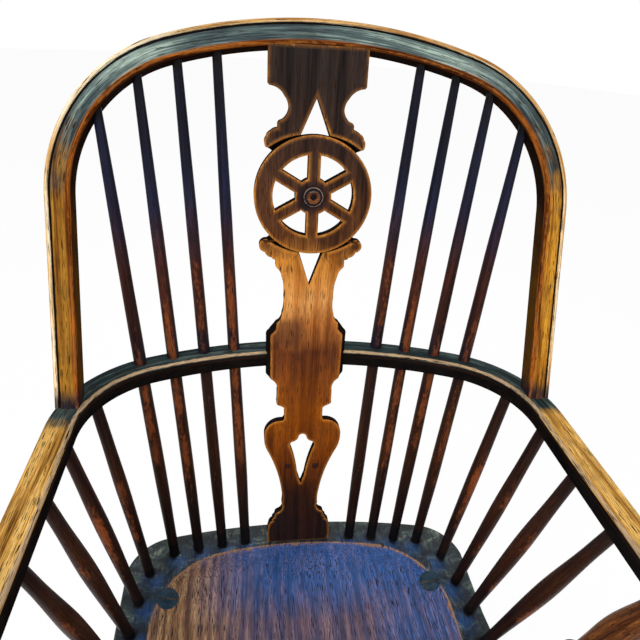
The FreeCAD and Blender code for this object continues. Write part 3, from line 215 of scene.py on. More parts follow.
@dataclass(frozen=True)
class Hoop:
    """A bent bow seen flat: two straight sides, two tight corners and a slow crown."""
    half: float
    rise: float
    crown: float
    corner: float
    step: float = 3.5 * MM
    flat_step: float = 3.0 * MM

    @property
    def side_height(self) -> float:
        """Where the straight side ends and the corner begins."""
        reach = self.half ** 2 - 2 * self.half * self.corner + 2 * self.crown * self.corner
        return self.rise - self.crown + math.sqrt(self.crown ** 2 - reach)

    @property
    def corner_turn(self) -> float:
        """The angle that a corner turns through before the crown takes over."""
        return math.atan2(self.side_height - self.rise + self.crown, self.half - self.corner)

    @property
    def half_length(self) -> float:
        """The length of the bow from its foot line to the middle of its crown."""
        turn = self.corner_turn
        return self.side_height + self.corner * turn + self.crown * (math.pi / 2 - turn)

    def locate(self, x: float, y: float) -> tuple[float, float]:
        """Finds a point's place by the bow.

        Args:
            x: the point's distance from the middle line.
            y: its height above the foot line.

        Returns:
            Its distance outward from the bow's line, and its distance along the bow from the
            right foot.
        """
        across, turn = abs(x), self.corner_turn
        beyond_x, beyond_y = across - self.half + self.corner, y - self.side_height
        if beyond_y <= 0:
            outward, along = across - self.half, y
        else:
            angle = math.atan2(beyond_y, beyond_x)
            if beyond_x > 0 and angle <= turn:
                outward = math.hypot(beyond_x, beyond_y) - self.corner
                along = self.side_height + self.corner * angle
            else:
                crown_y = y - self.rise + self.crown
                angle = math.atan2(crown_y, across)
                outward = math.hypot(across, crown_y) - self.crown
                along = self.side_height + self.corner * turn + self.crown * (angle - turn)
        return outward, along if x >= 0 else 2 * self.half_length - along

    def grain(self, point: Vector) -> Vector:
        """A point's place in the bent wood: outward, off the bow's plane and along it."""
        outward, along = self.locate(point.x, point.y)
        return Vector((outward, point.z, along))

    def bend(self, shape: BMesh, section: Sequence[Corner], foot: float,
             arc_step: float) -> tuple[list[BMEdge], list[BMEdge]]:
        """Draws a section at the right foot and carries it round the bow to the left foot.

        Args:
            shape: the empty mesh that is filled.
            section: the section's corners, with X outward and Y off the bow's plane.
            foot: the height of both feet above the foot line.
            arc_step: the longest edge on the section's arcs.

        Returns:
            The section's edges at the right foot, and those at the left foot.
        """
        first = trace(shape, section, 0.0, arc_step, self.flat_step)
        stand = Matrix(((1, 0, 0, self.half), (0, 0, 1, foot), (0, 1, 0, 0), (0, 0, 0, 1)))
        bmesh.ops.transform(shape, matrix=stand, verts=list(shape.verts))
        turn, side = self.corner_turn, self.side_height
        corner_x = self.half - self.corner
        rise = Vector((0, side - foot, 0))
        ends = run(shape, first, rise, self.step)
        for centre, angle, radius in (
                ((corner_x, side, 0), turn, self.corner),
                ((0, self.rise - self.crown, 0), math.pi - 2 * turn, self.crown),
                ((-corner_x, side, 0), turn, self.corner)):
            turned = bmesh.ops.spin(shape, geom=ends, cent=centre, axis=(0, 0, 1), angle=angle,
                                    steps=math.ceil(angle * radius / self.step))
            ends = [part for part in turned["geom_last"] if isinstance(part, BMEdge)]
        return first, run(shape, ends, -rise, self.step)


class Form(Enum):
    """The cuts of a turner's chisel."""
    TAPER = "straight from one size to the next"
    SWEEP = "an S curve from one size to the next"
    SWELL = "a long belly"
    BEAD = "a half-round ring"
    COVE = "a half-round hollow"


TAPER, SWEEP, SWELL, BEAD, COVE = Form


@dataclass(frozen=True)
class Cut:
    """One cut of a turning: from where the last one ended to a height and radius."""
    form: Form
    height: float
    radius: float
    rise: float = 0.0
    steps: int = 1

    def radius_at(self, share: float, start: float) -> float:
        """The radius at a share of the cut's length.

        Args:
            share: from 0 at the cut's start to 1 at its end.
            start: the radius where the cut starts.

        Returns:
            The radius there.
        """
        eased = share * share * (3 - 2 * share) if self.form is SWEEP else share
        level = start + (self.radius - start) * eased
        if self.form is SWELL:
            return level + self.rise * math.sin(math.pi * share)
        sign = {BEAD: 1, COVE: -1}.get(self.form, 0)
        return level + sign * self.rise * math.sqrt(max(1 - (2 * share - 1) ** 2, 0.0))


def turn_on_lathe(shape: BMesh, start: tuple[float, float], cuts: Sequence[Cut],
                  sides: int) -> None:
    """Spins a profile about the Z axis into a closed turning.

    Args:
        shape: the empty mesh that is filled.
        start: the height and radius where the first cut starts.
        cuts: the cuts in order.
        sides: how many steps the spin takes.
    """
    height, radius = start
    point = shape.verts.new((0, 0, height))
    places = [(height, radius)]
    for cut in cuts:
        for number in range(1, cut.steps + 1):
            share = number / cut.steps
            places.append((height + (cut.height - height) * share,
                           cut.radius_at(share, radius)))
        height, radius = cut.height, cut.radius
    for level, out in places + [(height, 0.0)]:
        point = bmesh.ops.extrude_vert_indiv(shape, verts=[point])["verts"][0]
        point.co = (out, 0, level)
    bmesh.ops.spin(shape, geom=list(shape.verts) + list(shape.edges), cent=(0, 0, 0),
                   axis=(0, 0, 1), angle=math.tau, steps=sides, use_merge=True)
    bmesh.ops.remove_doubles(shape, verts=list(shape.verts), dist=MERGE)


def between(start: Vector, end: Vector) -> Matrix:
    """The place whose Z axis runs from start towards end and whose -Y axis faces the front.

    Args:
        start: the place's origin.
        end: the point that its Z axis runs towards.

    Returns:
        The place's matrix.
    """
    up = (end - start).normalized()
    front = Vector((0, -1, 0)) if abs(up.y) < 0.9 else Vector((0, 0, 1))
    right = front.cross(up).normalized()
    turned = Matrix((right, up.cross(right), up)).transposed().to_4x4()
    return Matrix.Translation(start) @ turned


def smooth_step(low: float, high: float, value: float) -> float:
    """Eases from 0 at low to 1 at high."""
    share = min(max((value - low) / (high - low), 0.0), 1.0)
    return share * share * (3 - 2 * share)


def peak(value: float, top: float, width: float) -> float:
    """A rounded peak: 1 where the value is at the top, and near 0 two widths away."""
    return math.exp(-((value - top) / width) ** 2)


def middle_of(name: str, level: float, axis: int = 2) -> Vector:
    """The middle of a CAD node's section.

    Args:
        name: the node's name.
        level: the height of the section, or its place along another axis.
        axis: 0, 1 or 2 for a section across X, Y or Z.

    Returns:
        The middle of the section's outline, weighed by length.
    """
    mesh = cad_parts[name].data
    total, weight = Vector(), 0.0
    for face in mesh.polygons:
        points = [mesh.vertices[index].co for index in face.vertices]
        crossed = [near.lerp(far, (level - near[axis]) / (far[axis] - near[axis]))
                   for near, far in zip(points, points[1:] + points[:1])
                   if (near[axis] - level) * (far[axis] - level) < 0]
        if len(crossed) == 2:
            length = (crossed[0] - crossed[1]).length
            total += (crossed[0] + crossed[1]) / 2 * length
            weight += length
    return total / weight


def on_seat(place: Vector) -> Vector:
    """A place in the room, in the seat's own frame."""
    return place - Vector((0, CHAIR_Y, 0))


class Stock:
    """A piece of wood on the bench: a mesh, and the marks that its finish reads.

    Each point carries its place in the wood, with the grain along Z, and how far it is
    lightened by rubbed wear and painted highlights, darkened by grime and painted shade,
    or given a painted sheen.
    """

    def __init__(self, node: str) -> None:
        """Starts the empty piece that stands for a CAD node.

        Args:
            node: the CAD node's name.
        """
        self.node = node
        self.shape = bmesh.new()
        layers = self.shape.verts.layers
        self.grain = layers.float_vector.new("grain")
        self.marks = {word: layers.float.new(word) for word in ("worn", "grime", "bloom")}

    def lay_grain(self, place: Callable[[Vector], Vector], *offset: float) -> None:
        """Marks every point with its place in the wood.

        Args:
            place: gives a point's place in the wood from its place in the mesh.
            offset: moves the figure, so that no two pieces share it.
        """
        for point in self.shape.verts:
            point[self.grain] = place(point.co) + Vector(offset or (0, 0, 0))

    def mark(self, word: str, amount: Callable[[BMVert], float]) -> None:
        """Sets one mark on every point, held between 0 and 1."""
        for point in self.shape.verts:
            point[self.marks[word]] = min(max(amount(point), 0.0), 1.0)

    def move(self, matrix: Matrix) -> None:
        """Moves the whole piece."""
        bmesh.ops.transform(self.shape, matrix=matrix, verts=list(self.shape.verts))

    def cut_off(self, place: Vector, facing: Vector) -> list[BMEdge]:
        """Cuts away what stands beyond a plane and closes the cut.

        Args:
            place: a point of the plane.
            facing: the way to the side that is cut away.

        Returns:
            The edges round the cut.
        """
        shape = self.shape
        cut = bmesh.ops.bisect_plane(
            shape, geom=list(shape.verts) + list(shape.edges) + list(shape.faces), dist=MERGE,
            plane_co=place, plane_no=facing, clear_outer=True)
        rim = [part for part in cut["geom_cut"] if isinstance(part, BMEdge)]
        bmesh.ops.edgenet_fill(shape, edges=rim)
        return rim

    def close(self) -> None:
        """Merges doubles and points every face outwards."""
        bmesh.ops.remove_doubles(self.shape, verts=list(self.shape.verts), dist=MERGE)
        bmesh.ops.recalc_face_normals(self.shape, faces=list(self.shape.faces))

    def finish(self, finish: "Finish", slot: Slot, crease: float = 38.0) -> Object:
        """Makes the piece an object that rides on the chair in place of its CAD node.

        Args:
            finish: the finish it wears.
            slot: the record's slot of the piece; not used.
            crease: the angle in degrees past which an edge is sharp.

        Returns:
            The finished object.
        """
        name = "visual_" + self.node
        mesh = bpy.data.meshes.new(name)
        self.shape.to_mesh(mesh)
        self.shape.free()
        mesh.shade_smooth()
        mesh.set_sharp_from_angle(angle=math.radians(crease))
        mesh.materials.append(finish.material())
        piece = bpy.data.objects.new(name, mesh)
        bpy.context.scene.collection.objects.link(piece)
        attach(piece, "root")
        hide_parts(self.node)
        log.info("%s: %d faces", name, len(mesh.polygons))
        return piece


# Shader nodes and the two effects that the woods share


class Value:
    """An output in a node tree, which adds, subtracts and multiplies by Math nodes."""

    def __init__(self, graph: "Graph", socket: NodeSocket) -> None:
        """Holds an output of a graph."""
        self.graph = graph
        self.socket = socket

    def __add__(self, other: "Value | float") -> "Value":
        """The sum."""
        return self.graph.math("ADD", self, other)

    def __sub__(self, other: "Value | float") -> "Value":
        """The difference."""
        return self.graph.math("SUBTRACT", self, other)

    def __rsub__(self, other: float) -> "Value":
        """What is left of a number."""
        return self.graph.math("SUBTRACT", other, self)

    def __mul__(self, other: "Value | float") -> "Value":
        """The product."""
        return self.graph.math("MULTIPLY", self, other)

    def held(self) -> "Value":
        """The same sum or product, held between 0 and 1."""
        self.socket.node.use_clamp = True
        return self


class Graph:
    """A node tree with a short word for each node that the finishes use."""

    def __init__(self, tree: NodeTree) -> None:
        """Takes the tree that is wired."""
        self.tree = tree

    def node(self, kind: str, inputs: dict[int | str, object] | None = None,
             **settings: object) -> Node:
        """Adds a node.

        Args:
            kind: its type, less the words ShaderNode.
            inputs: values or links for its inputs.
            settings: values for its other properties.

        Returns:
            The node.
        """
        made = self.tree.nodes.new("ShaderNode" + kind)
        for word, value in settings.items():
            setattr(made, word, value)
        for key, value in (inputs or {}).items():
            self.feed(made.inputs[key], value)
        return made

    def feed(self, socket: NodeSocket, value: object) -> None:
        """Links a value to an input, or sets the input's own number or colour.

        Args:
            socket: the input.
            value: the value, number, vector or colour.
        """
        if isinstance(value, Value):
            self.tree.links.new(value.socket, socket)
        elif socket.type == "RGBA":
            socket.default_value = (*value, 1.0)
        else:
            socket.default_value = value

    def out(self, node: Node, key: int | str = 0) -> Value:
        """One output of a node."""
        return Value(self, node.outputs[key])

    def math(self, operation: str, first: object, second: object) -> Value:
        """One Math node."""
        return self.out(self.node("Math", {0: first, 1: second}, operation=operation))

    def mix(self, factor: object, first: object, second: object) -> Value:
        """Mixes two colours."""
        return self.out(self.node("Mix", {0: factor, 6: first, 7: second}, data_type="RGBA"), 2)

    def span(self, value: object, low: float, high: float, start: float = 0.0,
             end: float = 1.0) -> Value:
        """Eases a value from one range to another."""
        inputs = dict(enumerate((value, low, high, start, end)))
        return self.out(self.node("MapRange", inputs, interpolation_type="SMOOTHSTEP"))

    def stretched(self, vector: object, scale: tuple[float, float, float],
                  shift: tuple[float, float, float] = (0, 0, 0)) -> Value:
        """A vector scaled along each axis, to draw a pattern out along the grain."""
        return self.out(self.node("Mapping", {"Vector": vector, "Scale": scale,
                                              "Location": shift}))

    def noise(self, vector: object, scale: object, detail: float = 3.0,
              roughness: float = 0.55, distortion: float = 0.0) -> Value:
        """A noise value about 0.5.

        Args:
            vector: the place that it reads.
            scale: its scale, as one number or as one for each axis.
            detail: how many finer layers it has.
            roughness: how strong the finer layers are.
            distortion: how far it is bent.

        Returns:
            The noise.
        """
        if isinstance(scale, tuple):
            vector, scale = self.stretched(vector, scale), 1.0
        return self.out(self.node("TexNoise", {
            "Vector": vector, "Scale": scale, "Detail": detail, "Roughness": roughness,
            "Distortion": distortion}), "Fac")

    def ramp(self, factor: object, *stops: tuple[float, int, int, int]) -> Value:
        """A colour ramp.

        Args:
            factor: what it reads.
            stops: rows of a place and the red, green and blue of a colour on a screen.

        Returns:
            The colour.
        """
        made = self.node("ValToRGB", {0: factor})
        elements = made.color_ramp.elements
        while len(elements) < len(stops):
            elements.new(1.0)
        for element, (place, *colour) in zip(elements, stops):
            element.position = place
            element.color = (*tone(*colour), 1.0)
        return self.out(made)

    def split(self, vector: object) -> list[Value]:
        """The three parts of a vector."""
        made = self.node("SeparateXYZ", {0: vector})
        return [self.out(made, index) for index in range(3)]

    def mark(self, word: str) -> Value:
        """One of the piece's own marks as a number."""
        return self.out(self.node("Attribute", attribute_name=word), "Fac")

    def grain(self) -> Value:
        """The piece's own grain places as a vector."""
        return self.out(self.node("Attribute", attribute_name="grain"), "Vector")

    def place(self) -> Value:
        """The place on the object."""
        return self.out(self.node("TexCoord"), "Object")

    def seen(self) -> Value:
        """Where the camera, gloss or glass looks.

        Returns:
            1 for such rays, and 0 for the others.
        """
        rays = self.node("LightPath")
        gloss, glass = self.out(rays, "Is Glossy Ray"), self.out(rays, "Is Transmission Ray")
        return self.math("MAXIMUM", self.out(rays, "Is Camera Ray"),
                         self.math("MAXIMUM", gloss, glass))


class Effect:
    """A node group that is built once and placed in each finish."""
    name: str = ""
    inputs: dict[str, str] = {}
    outputs: dict[str, str] = {}

    @classmethod
    def tree(cls) -> NodeTree:
        """The group's tree, built on first use.

        Returns:
            The tree.
        """
        found = bpy.data.node_groups.get(cls.name)
        if found:
            return found
        tree = bpy.data.node_groups.new(cls.name, "ShaderNodeTree")
        for way, sockets in (("INPUT", cls.inputs), ("OUTPUT", cls.outputs)):
            for word, kind in sockets.items():
                tree.interface.new_socket(word, in_out=way, socket_type="NodeSocket" + kind)
        graph = Graph(tree)
        given = tree.nodes.new("NodeGroupInput")
        results = cls.wire(graph, {word: graph.out(given, word) for word in cls.inputs})
        final = tree.nodes.new("NodeGroupOutput")
        for word, value in results.items():
            graph.feed(final.inputs[word], value)
        return tree

    @classmethod
    def wire(cls, graph: Graph, given: dict[str, Value]) -> dict[str, Value]:
        """Wires the group's inside; each effect has its own."""
        raise NotImplementedError

    @classmethod
    def use(cls, graph: Graph, **values: object) -> dict[str, Value]:
        """Places the group in a material.

        Args:
            graph: the material's graph.
            values: values or links for the group's inputs, spaces written as underscores.

        Returns:
            The group's outputs by name.
        """
        given = {word.replace("_", " "): value for word, value in values.items()}
        made = graph.node("Group", node_tree=cls.tree())
        for word, value in given.items():
            graph.feed(made.inputs[word], value)
        return {word: graph.out(made, word) for word in cls.outputs}


class WoodFigure(Effect):
    """Growth rings, fibres and open pores, drawn out along Z."""
    name = "wood_figure"
    inputs = {"Vector": "Vector", "Ring Scale": "Float", "Ring Wander": "Float",
              "Pore Share": "Float"}
    outputs = {"Figure": "Float", "Pores": "Float", "Height": "Float"}

    @classmethod
    def wire(cls, graph: Graph, given: dict[str, Value]) -> dict[str, Value]:
        """Mixes a slow ring pattern with fine fibres and cuts the pores out of the finest.

        Args:
            graph: the group's graph.
            given: the group's inputs.

        Returns:
            The group's outputs.
        """
        place = given["Vector"]
        wander = graph.noise(place, (9, 9, 2.2), 2.0)
        spread = (wander - 0.5) * (given["Ring Wander"] * 0.08)
        moved = graph.node("VectorMath", {
            0: (1.0, 1.0, 0.0), 1: spread, 2: graph.stretched(place, (1, 1, 0.03))},
            operation="MULTIPLY_ADD")
        rings = graph.span(graph.noise(graph.out(moved), given["Ring Scale"], 2.5, 0.6),
                           0.36, 0.64)
        fibres = graph.span(graph.noise(place, (900, 900, 22), 3.0, 0.6), 0.32, 0.68)
        threshold = 0.72 - given["Pore Share"] * (rings * 0.22 + 0.12)
        pores = graph.span(graph.noise(place, (1900, 1900, 70), 1.0) - threshold, 0.0, 0.05)
        return {"Figure": (rings * 0.6 + fibres * 0.4).held(), "Pores": pores,
                "Height": fibres * 0.35 - pores * 0.8}


class AgeAndPaintedLight(Effect):
    """Age and painted light on a wood's colour: lighter rubbed edges that are partly painted
    highlights, darker corners that are partly painted shade, and a painted blue-grey sheen.
    """
    name = "patina"
    inputs = {"Vector": "Vector", "Wood": "Color", "Worn Colour": "Color",
              "Grime Colour": "Color", "Bloom Colour": "Color", "Worn": "Float",
              "Grime": "Float", "Bloom": "Float", "Figure": "Float"}
    outputs = {"Color": "Color", "Gloss": "Float"}
    mottle: Colour = (0.02, 0.017, 0.015)

    @classmethod
    def wire(cls, graph: Graph, given: dict[str, Value]) -> dict[str, Value]:
        """Breaks each mark up with noise and lays the colours over each other.

        Args:
            graph: the group's graph.
            given: the group's inputs.

        Returns:
            The group's outputs.
        """
        cloud = graph.noise(given["Vector"], (60, 60, 34), 4.0, 0.62)
        speckle = graph.noise(given["Vector"], (420, 420, 160))
        ragged = (cloud - 0.5) * 1.1 + (speckle - 0.5) * 0.7

        def broken(word: str, strength: float) -> Value:
            """One mark with a ragged edge."""
            edge = graph.span(given[word] + ragged * strength, 0.3, 0.7)
            return edge * graph.span(given[word], 0.0, 0.15)

        # painted sheen: a blue-grey colour, scaled by the figure, laid over the wood
        tinted = graph.node("VectorMath", {
            0: given["Bloom Colour"], "Scale": given["Figure"] * 1.05 + 0.42},
            operation="SCALE")
        thickness = (given["Bloom"] * (ragged * 0.9 + 0.95)).held()
        sheened = graph.mix(thickness, given["Wood"], graph.out(tinted))
        # darker marks: grime, and painted shade in grooves, on walls and on backs
        darkened = graph.mix(broken("Grime", 0.7), sheened, given["Grime Colour"])
        # lighter marks: rubbed wear, and painted highlights on some edges
        worn = graph.mix(broken("Worn", 1.0), darkened, given["Worn Colour"])
        mottled = graph.mix(graph.span(cloud, 0.35, 0.7, 0.0, 0.28), worn, cls.mottle)
        return {"Color": mottled, "Gloss": cloud * 0.25 + speckle * 0.1}


# How each wood looks


def tone(red: int, green: int, blue: int) -> Colour:
    """A colour as it looks on a screen, from 0 to 255, as the light values a shader takes.

    Args:
        red: its red.
        green: its green.
        blue: its blue.

    Returns:
        The light values.
    """
    shares = (value / 255 for value in (red, green, blue))
    return tuple(share / 12.92 if share <= 0.04045 else ((share + 0.055) / 1.055) ** 2.4
                 for share in shares)


@dataclass(frozen=True)
class Finish:
    """How one wood of the chair looks; each kind works out its own colour and marks."""
    name: str
    worn: Colour
    grime: Colour
    bloom: Colour = (0.05, 0.1, 0.14)
    ring_scale: float = 90.0
    ring_wander: float = 0.35
    pore_share: float = 0.35
    pore_colour: Colour = (0.012, 0.008, 0.006)
    roughness: float = 0.3
    gloss: float = 0.0
    relief: float = 0.25
    relief_height: float = 0.4 * MM
    pore_roughness: float = 0.2
    gloss_middle: float = 0.12

    def wood(self, graph: Graph, figure: Value) -> Value:
        """The wood's colour before its age."""
        raise NotImplementedError

    def marks(self, graph: Graph) -> dict[str, object]:
        """The three marks, as the piece carries them: lighter for rubbed wear and painted
        highlights, darker for grime and painted shade, and a painted sheen.
        """
        return {word.title(): graph.mark(word) for word in ("worn", "grime", "bloom")}

    def vector(self, graph: Graph) -> Value:
        """The place in the wood that the figure reads."""
        return graph.grain()

    def material(self) -> Material:
        """The finished material, built on first use.

        Returns:
            The material.
        """
        found = bpy.data.materials.get(self.name)
        if found:
            return found
        made = bpy.data.materials.new(self.name)
        made.use_nodes = True
        graph = Graph(made.node_tree)
        shader = made.node_tree.nodes["Principled BSDF"]
        vector = self.vector(graph)
        figure = WoodFigure.use(graph, Vector=vector, Ring_Scale=self.ring_scale,
                                Ring_Wander=self.ring_wander, Pore_Share=self.pore_share)
        aged = AgeAndPaintedLight.use(
            graph, Vector=vector, Wood=self.wood(graph, figure["Figure"]),
            Worn_Colour=self.worn, Grime_Colour=self.grime, Bloom_Colour=self.bloom,
            Figure=figure["Figure"], **self.marks(graph))
        bump = graph.node("Bump", {"Strength": self.relief, "Distance": self.relief_height,
                                   "Height": figure["Height"]})
        rough = figure["Pores"] * self.pore_roughness + (
            aged["Gloss"] + (self.roughness - self.gloss_middle))
        for word, value in (
                ("Base Color", graph.mix(figure["Pores"], aged["Color"], self.pore_colour)),
                ("Roughness", rough.held()), ("Normal", graph.out(bump)),
                ("Specular IOR Level", self.gloss)):
            graph.feed(shader.inputs[word], value)
        return made


@dataclass(frozen=True)
class SeatFinish(Finish):
    """Elm with a brown dish, a dark green-grey rim and a painted blue sheen."""

    def wood(self, graph: Graph, figure: Value) -> Value:
        """Brown in the dish, tan to the front left, green-grey on the rim.

        Args:
            graph: the material's graph.
            figure: the wood's figure.

        Returns:
            The colour.
        """
        x, y, _ = graph.split(graph.place())
        ovals = graph.node("TexWave", {
            "Vector": graph.stretched(graph.place(), (1.0, 0.16, 1.0), (-0.012, -0.01, -0.395)),
            "Scale": 26.0, "Distortion": 5.0, "Detail": 2.5, "Detail Scale": 1.6,
            "Detail Roughness": 0.55}, wave_type="RINGS", rings_direction="SPHERICAL")
        figured = (graph.out(ovals, "Fac") * 0.45 + figure * 0.6).held()
        brown = graph.ramp(figured, (0.1, 58, 38, 36), (0.5, 112, 78, 66), (0.9, 158, 114, 88))
        tan = graph.ramp(figured, (0.1, 84, 56, 38), (0.5, 146, 106, 70), (0.9, 196, 156, 108))
        toward_left = graph.span(x, -0.02, -0.16) + graph.span(y, 0.1, -0.1, 0.0, 0.5)
        dish = graph.mix(toward_left.held() * 0.85, brown, tan)
        scratched = graph.noise(graph.place(), (46, 60, 46), 6.0, 0.72, 0.8)
        rim = graph.ramp(graph.span(scratched, 0.3, 0.75), (0.1, 24, 29, 32),
                         (0.5, 46, 57, 58), (0.72, 76, 88, 80), (0.95, 132, 136, 116))
        return graph.mix(graph.mark("deck"), dish, rim)


@dataclass(frozen=True)
class BowFinish(Finish):
    """Ash of the back bow: dark teal round the crown with painted highlights, golden down the
    sides, painted shade on its walls.
    """

    def wood(self, graph: Graph, figure: Value) -> Value:
        """Golden low down and on the bead, teal-grey round the crown with painted pale
        highlights, orange inside, painted dark shade on the walls.

        Args:
            graph: the material's graph.
            figure: the wood's figure.

        Returns:
            The colour.
        """
        across, deep, _ = graph.split(graph.grain())
        x, _, height = graph.split(graph.place())
        level = height + graph.noise(graph.grain(), 38.0) * 0.16
        # painted highlight: pale mint streaks on the crown, stronger higher up
        painted_highlight = figure * 0.4 + graph.noise(graph.grain(), (60, 60, 9)) * 0.65
        teal = graph.ramp(graph.span(height, 0.9, 1.0, -0.2, 0.04) + painted_highlight, (0.1, 24, 28, 34),
                          (0.38, 50, 60, 63), (0.55, 92, 108, 106), (0.75, 176, 194, 180))
        golden = graph.ramp(figure, (0.1, 74, 40, 14), (0.5, 164, 104, 30),
                            (0.9, 214, 152, 52))
        golden = graph.mix(graph.span(x, 0.0, -0.2, 0.0, 0.42), golden, tone(52, 34, 24))
        face = graph.mix(graph.span(level, 1.02, 0.93), teal, golden)
        bead = graph.ramp(figure, (0.1, 170, 110, 48), (0.5, 232, 192, 130),
                          (0.9, 252, 236, 206))
        with_bead = graph.mix(graph.span(across, 6.8 * MM, 7.4 * MM), face, bead)
        inner = graph.ramp(figure, (0.2, 58, 26, 10), (0.5, 122, 62, 20), (0.85, 182, 106, 40))
        rounded = graph.mix(graph.span(across, -5.8 * MM, -7.6 * MM), with_bead, inner)
        # painted shade: the back and side walls near black round the crown, dark gold lower down
        painted_shade_wall = graph.mix(graph.span(level, 0.98, 0.86), tone(26, 15, 11), tone(84, 54, 16))
        return graph.mix(graph.span(deep, 7.0 * MM, 5.2 * MM), rounded, painted_shade_wall)


@dataclass(frozen=True)
class ArmFinish(Finish):
    """Ash of the arm bow: grey-green on top, near black inside and below as painted shade,
    golden to the ends.
    """

    def wood(self, graph: Graph, figure: Value) -> Value:
        """Grey on top with golden ends; the faces below are painted near black as shade.

        Args:
            graph: the material's graph.
            figure: the wood's figure.

        Returns:
            The colour.
        """
        _, deep, _ = graph.split(graph.grain())
        _, y, _ = graph.split(graph.place())
        level = y + graph.noise(graph.grain(), 30.0) * 0.05
        grey = graph.ramp(figure, (0.1, 26, 34, 36), (0.5, 48, 61, 62), (0.9, 84, 98, 94))
        golden = graph.ramp(figure, (0.1, 92, 56, 20), (0.5, 196, 142, 64),
                            (0.9, 236, 190, 110))
        # painted shade: near black on the faces below the top
        below = graph.ramp(figure, (0.2, 14, 10, 11), (0.8, 40, 26, 22))
        top = graph.mix(graph.span(level, 0.105, 0.085), grey, golden)
        return graph.mix(graph.span(deep, -2.0 * MM, -3.2 * MM), top, below)


@dataclass(frozen=True)
class SplatFinish(Finish):
    """Beech of the splat: grey-brown at the top, golden at the waist, red-brown below."""
    # dark patches: place on the board and reach in millimetres, and strength
    stains: tuple[tuple[float, ...], ...] = (
        (0.0, 436.5, 21.0, 0.85), (-22.0, 292.0, 22.0, 0.5), (16.0, 117.0, 6.0, 0.8),
        (-16.0, 118.0, 5.0, 0.7), (36.0, 372.0, 11.0, 0.5))

    def wood(self, graph: Graph, figure: Value) -> Value:
        """A ramp up the board, broken by the wood's own clouds and streaked by its figure, with
        painted orange light along the edges.

        Args:
            graph: the material's graph.
            figure: the wood's figure.

        Returns:
            The colour.
        """
        _, _, height = graph.split(graph.place())
        cloud = graph.noise(graph.grain(), (26, 26, 12))
        up = (graph.span(height, 0.43, 1.0) + (cloud - 0.5) * 0.12).held()
        dark = graph.ramp(up, (0.0, 20, 13, 15), (0.05, 36, 20, 16), (0.12, 70, 32, 12),
                          (0.26, 104, 48, 10), (0.36, 84, 38, 14), (0.46, 58, 26, 16),
                          (0.53, 120, 62, 26), (0.6, 178, 102, 42), (0.7, 146, 78, 26),
                          (0.77, 52, 28, 17), (0.87, 34, 22, 19), (1.0, 22, 19, 20))
        light = graph.ramp(up, (0.0, 50, 34, 34), (0.05, 76, 40, 26), (0.12, 136, 68, 20),
                           (0.26, 166, 88, 20), (0.36, 148, 80, 30), (0.46, 118, 64, 34),
                           (0.53, 196, 120, 58), (0.6, 240, 172, 98), (0.7, 224, 148, 62),
                           (0.77, 112, 66, 36), (0.87, 92, 60, 42), (1.0, 58, 48, 44))
        # painted edge light: orange along the arrises
        edge_highlight = (graph.mark("bloom") * (cloud + 0.45)).held()
        edged = graph.mix(edge_highlight, graph.mix(figure, dark, light),
                          graph.mix(0.35, light, tone(216, 136, 46)))
        plane = Splat().plane
        for x, y, reach, strength in self.stains:
            away = graph.node("VectorMath", {
                0: graph.place(), 1: tuple(plane @ Vector((x * MM, y * MM, 0)))},
                operation="DISTANCE")
            near = graph.out(away, "Value") + (cloud - 0.5) * 0.03
            edged = graph.mix(graph.span(near, reach * MM, reach * 0.5 * MM, 0.0, strength),
                              edged, tone(30, 24, 30))
        return edged

    def marks(self, graph: Graph) -> dict[str, object]:
        """The first two marks; the third mark, painted orange light along the edges, is read by
        wood() instead.
        """
        return {**super().marks(graph), "Bloom": 0.0}


@dataclass(frozen=True)
class SpindleFinish(Finish):
    """Ash of the sticks: near black at the sockets, blue-black above, red-brown between."""

    def wood(self, graph: Graph, figure: Value) -> Value:
        """A ramp up the chair, from the seat to the bow.

        Args:
            graph: the material's graph.
            figure: the wood's figure.

        Returns:
            The colour.
        """
        _, _, height = graph.split(graph.place())
        cloud = graph.noise(graph.grain(), (30, 30, 14))
        up = (graph.span(height, 0.43, 1.0) + (cloud - 0.5) * 0.16).held()
        dark = graph.ramp(up, (0.0, 16, 10, 10), (0.15, 34, 18, 13), (0.4, 22, 13, 14),
                          (0.46, 18, 15, 22), (0.56, 30, 16, 16), (0.7, 36, 19, 18),
                          (0.84, 18, 18, 32), (1.0, 10, 11, 20))
        light = graph.ramp(up, (0.0, 38, 22, 18), (0.15, 78, 42, 24), (0.4, 54, 32, 26),
                           (0.46, 36, 32, 44), (0.56, 72, 38, 30), (0.7, 84, 44, 32),
                           (0.84, 40, 42, 70), (1.0, 24, 26, 40))
        return graph.mix(figure, dark, light)


@dataclass(frozen=True)
class TurnedFinish(Finish):
    """Beech of the legs, stretchers and supports: red-brown, darker in the hollows."""

    def wood(self, graph: Graph, figure: Value) -> Value:
        """Red-brown streaked by the figure."""
        return graph.ramp(figure, (0.1, 58, 30, 18), (0.5, 104, 58, 28), (0.9, 146, 88, 42))


@dataclass(frozen=True)
class FixingFinish(Finish):
    """Oak of the pins and wedges, which read their own place and carry no marks."""

    def wood(self, graph: Graph, figure: Value) -> Value:
        """Dark end grain."""
        return graph.ramp(figure, (0.2, 40, 34, 30), (0.8, 92, 76, 58))

    def marks(self, graph: Graph) -> dict[str, object]:
        """No lighter edges; a little darkening all over, and a faint painted sheen."""
        return {"Worn": 0.0, "Grime": 0.3, "Bloom": 0.1}

    def vector(self, graph: Graph) -> Value:
        """The place on the object."""
        return graph.place()


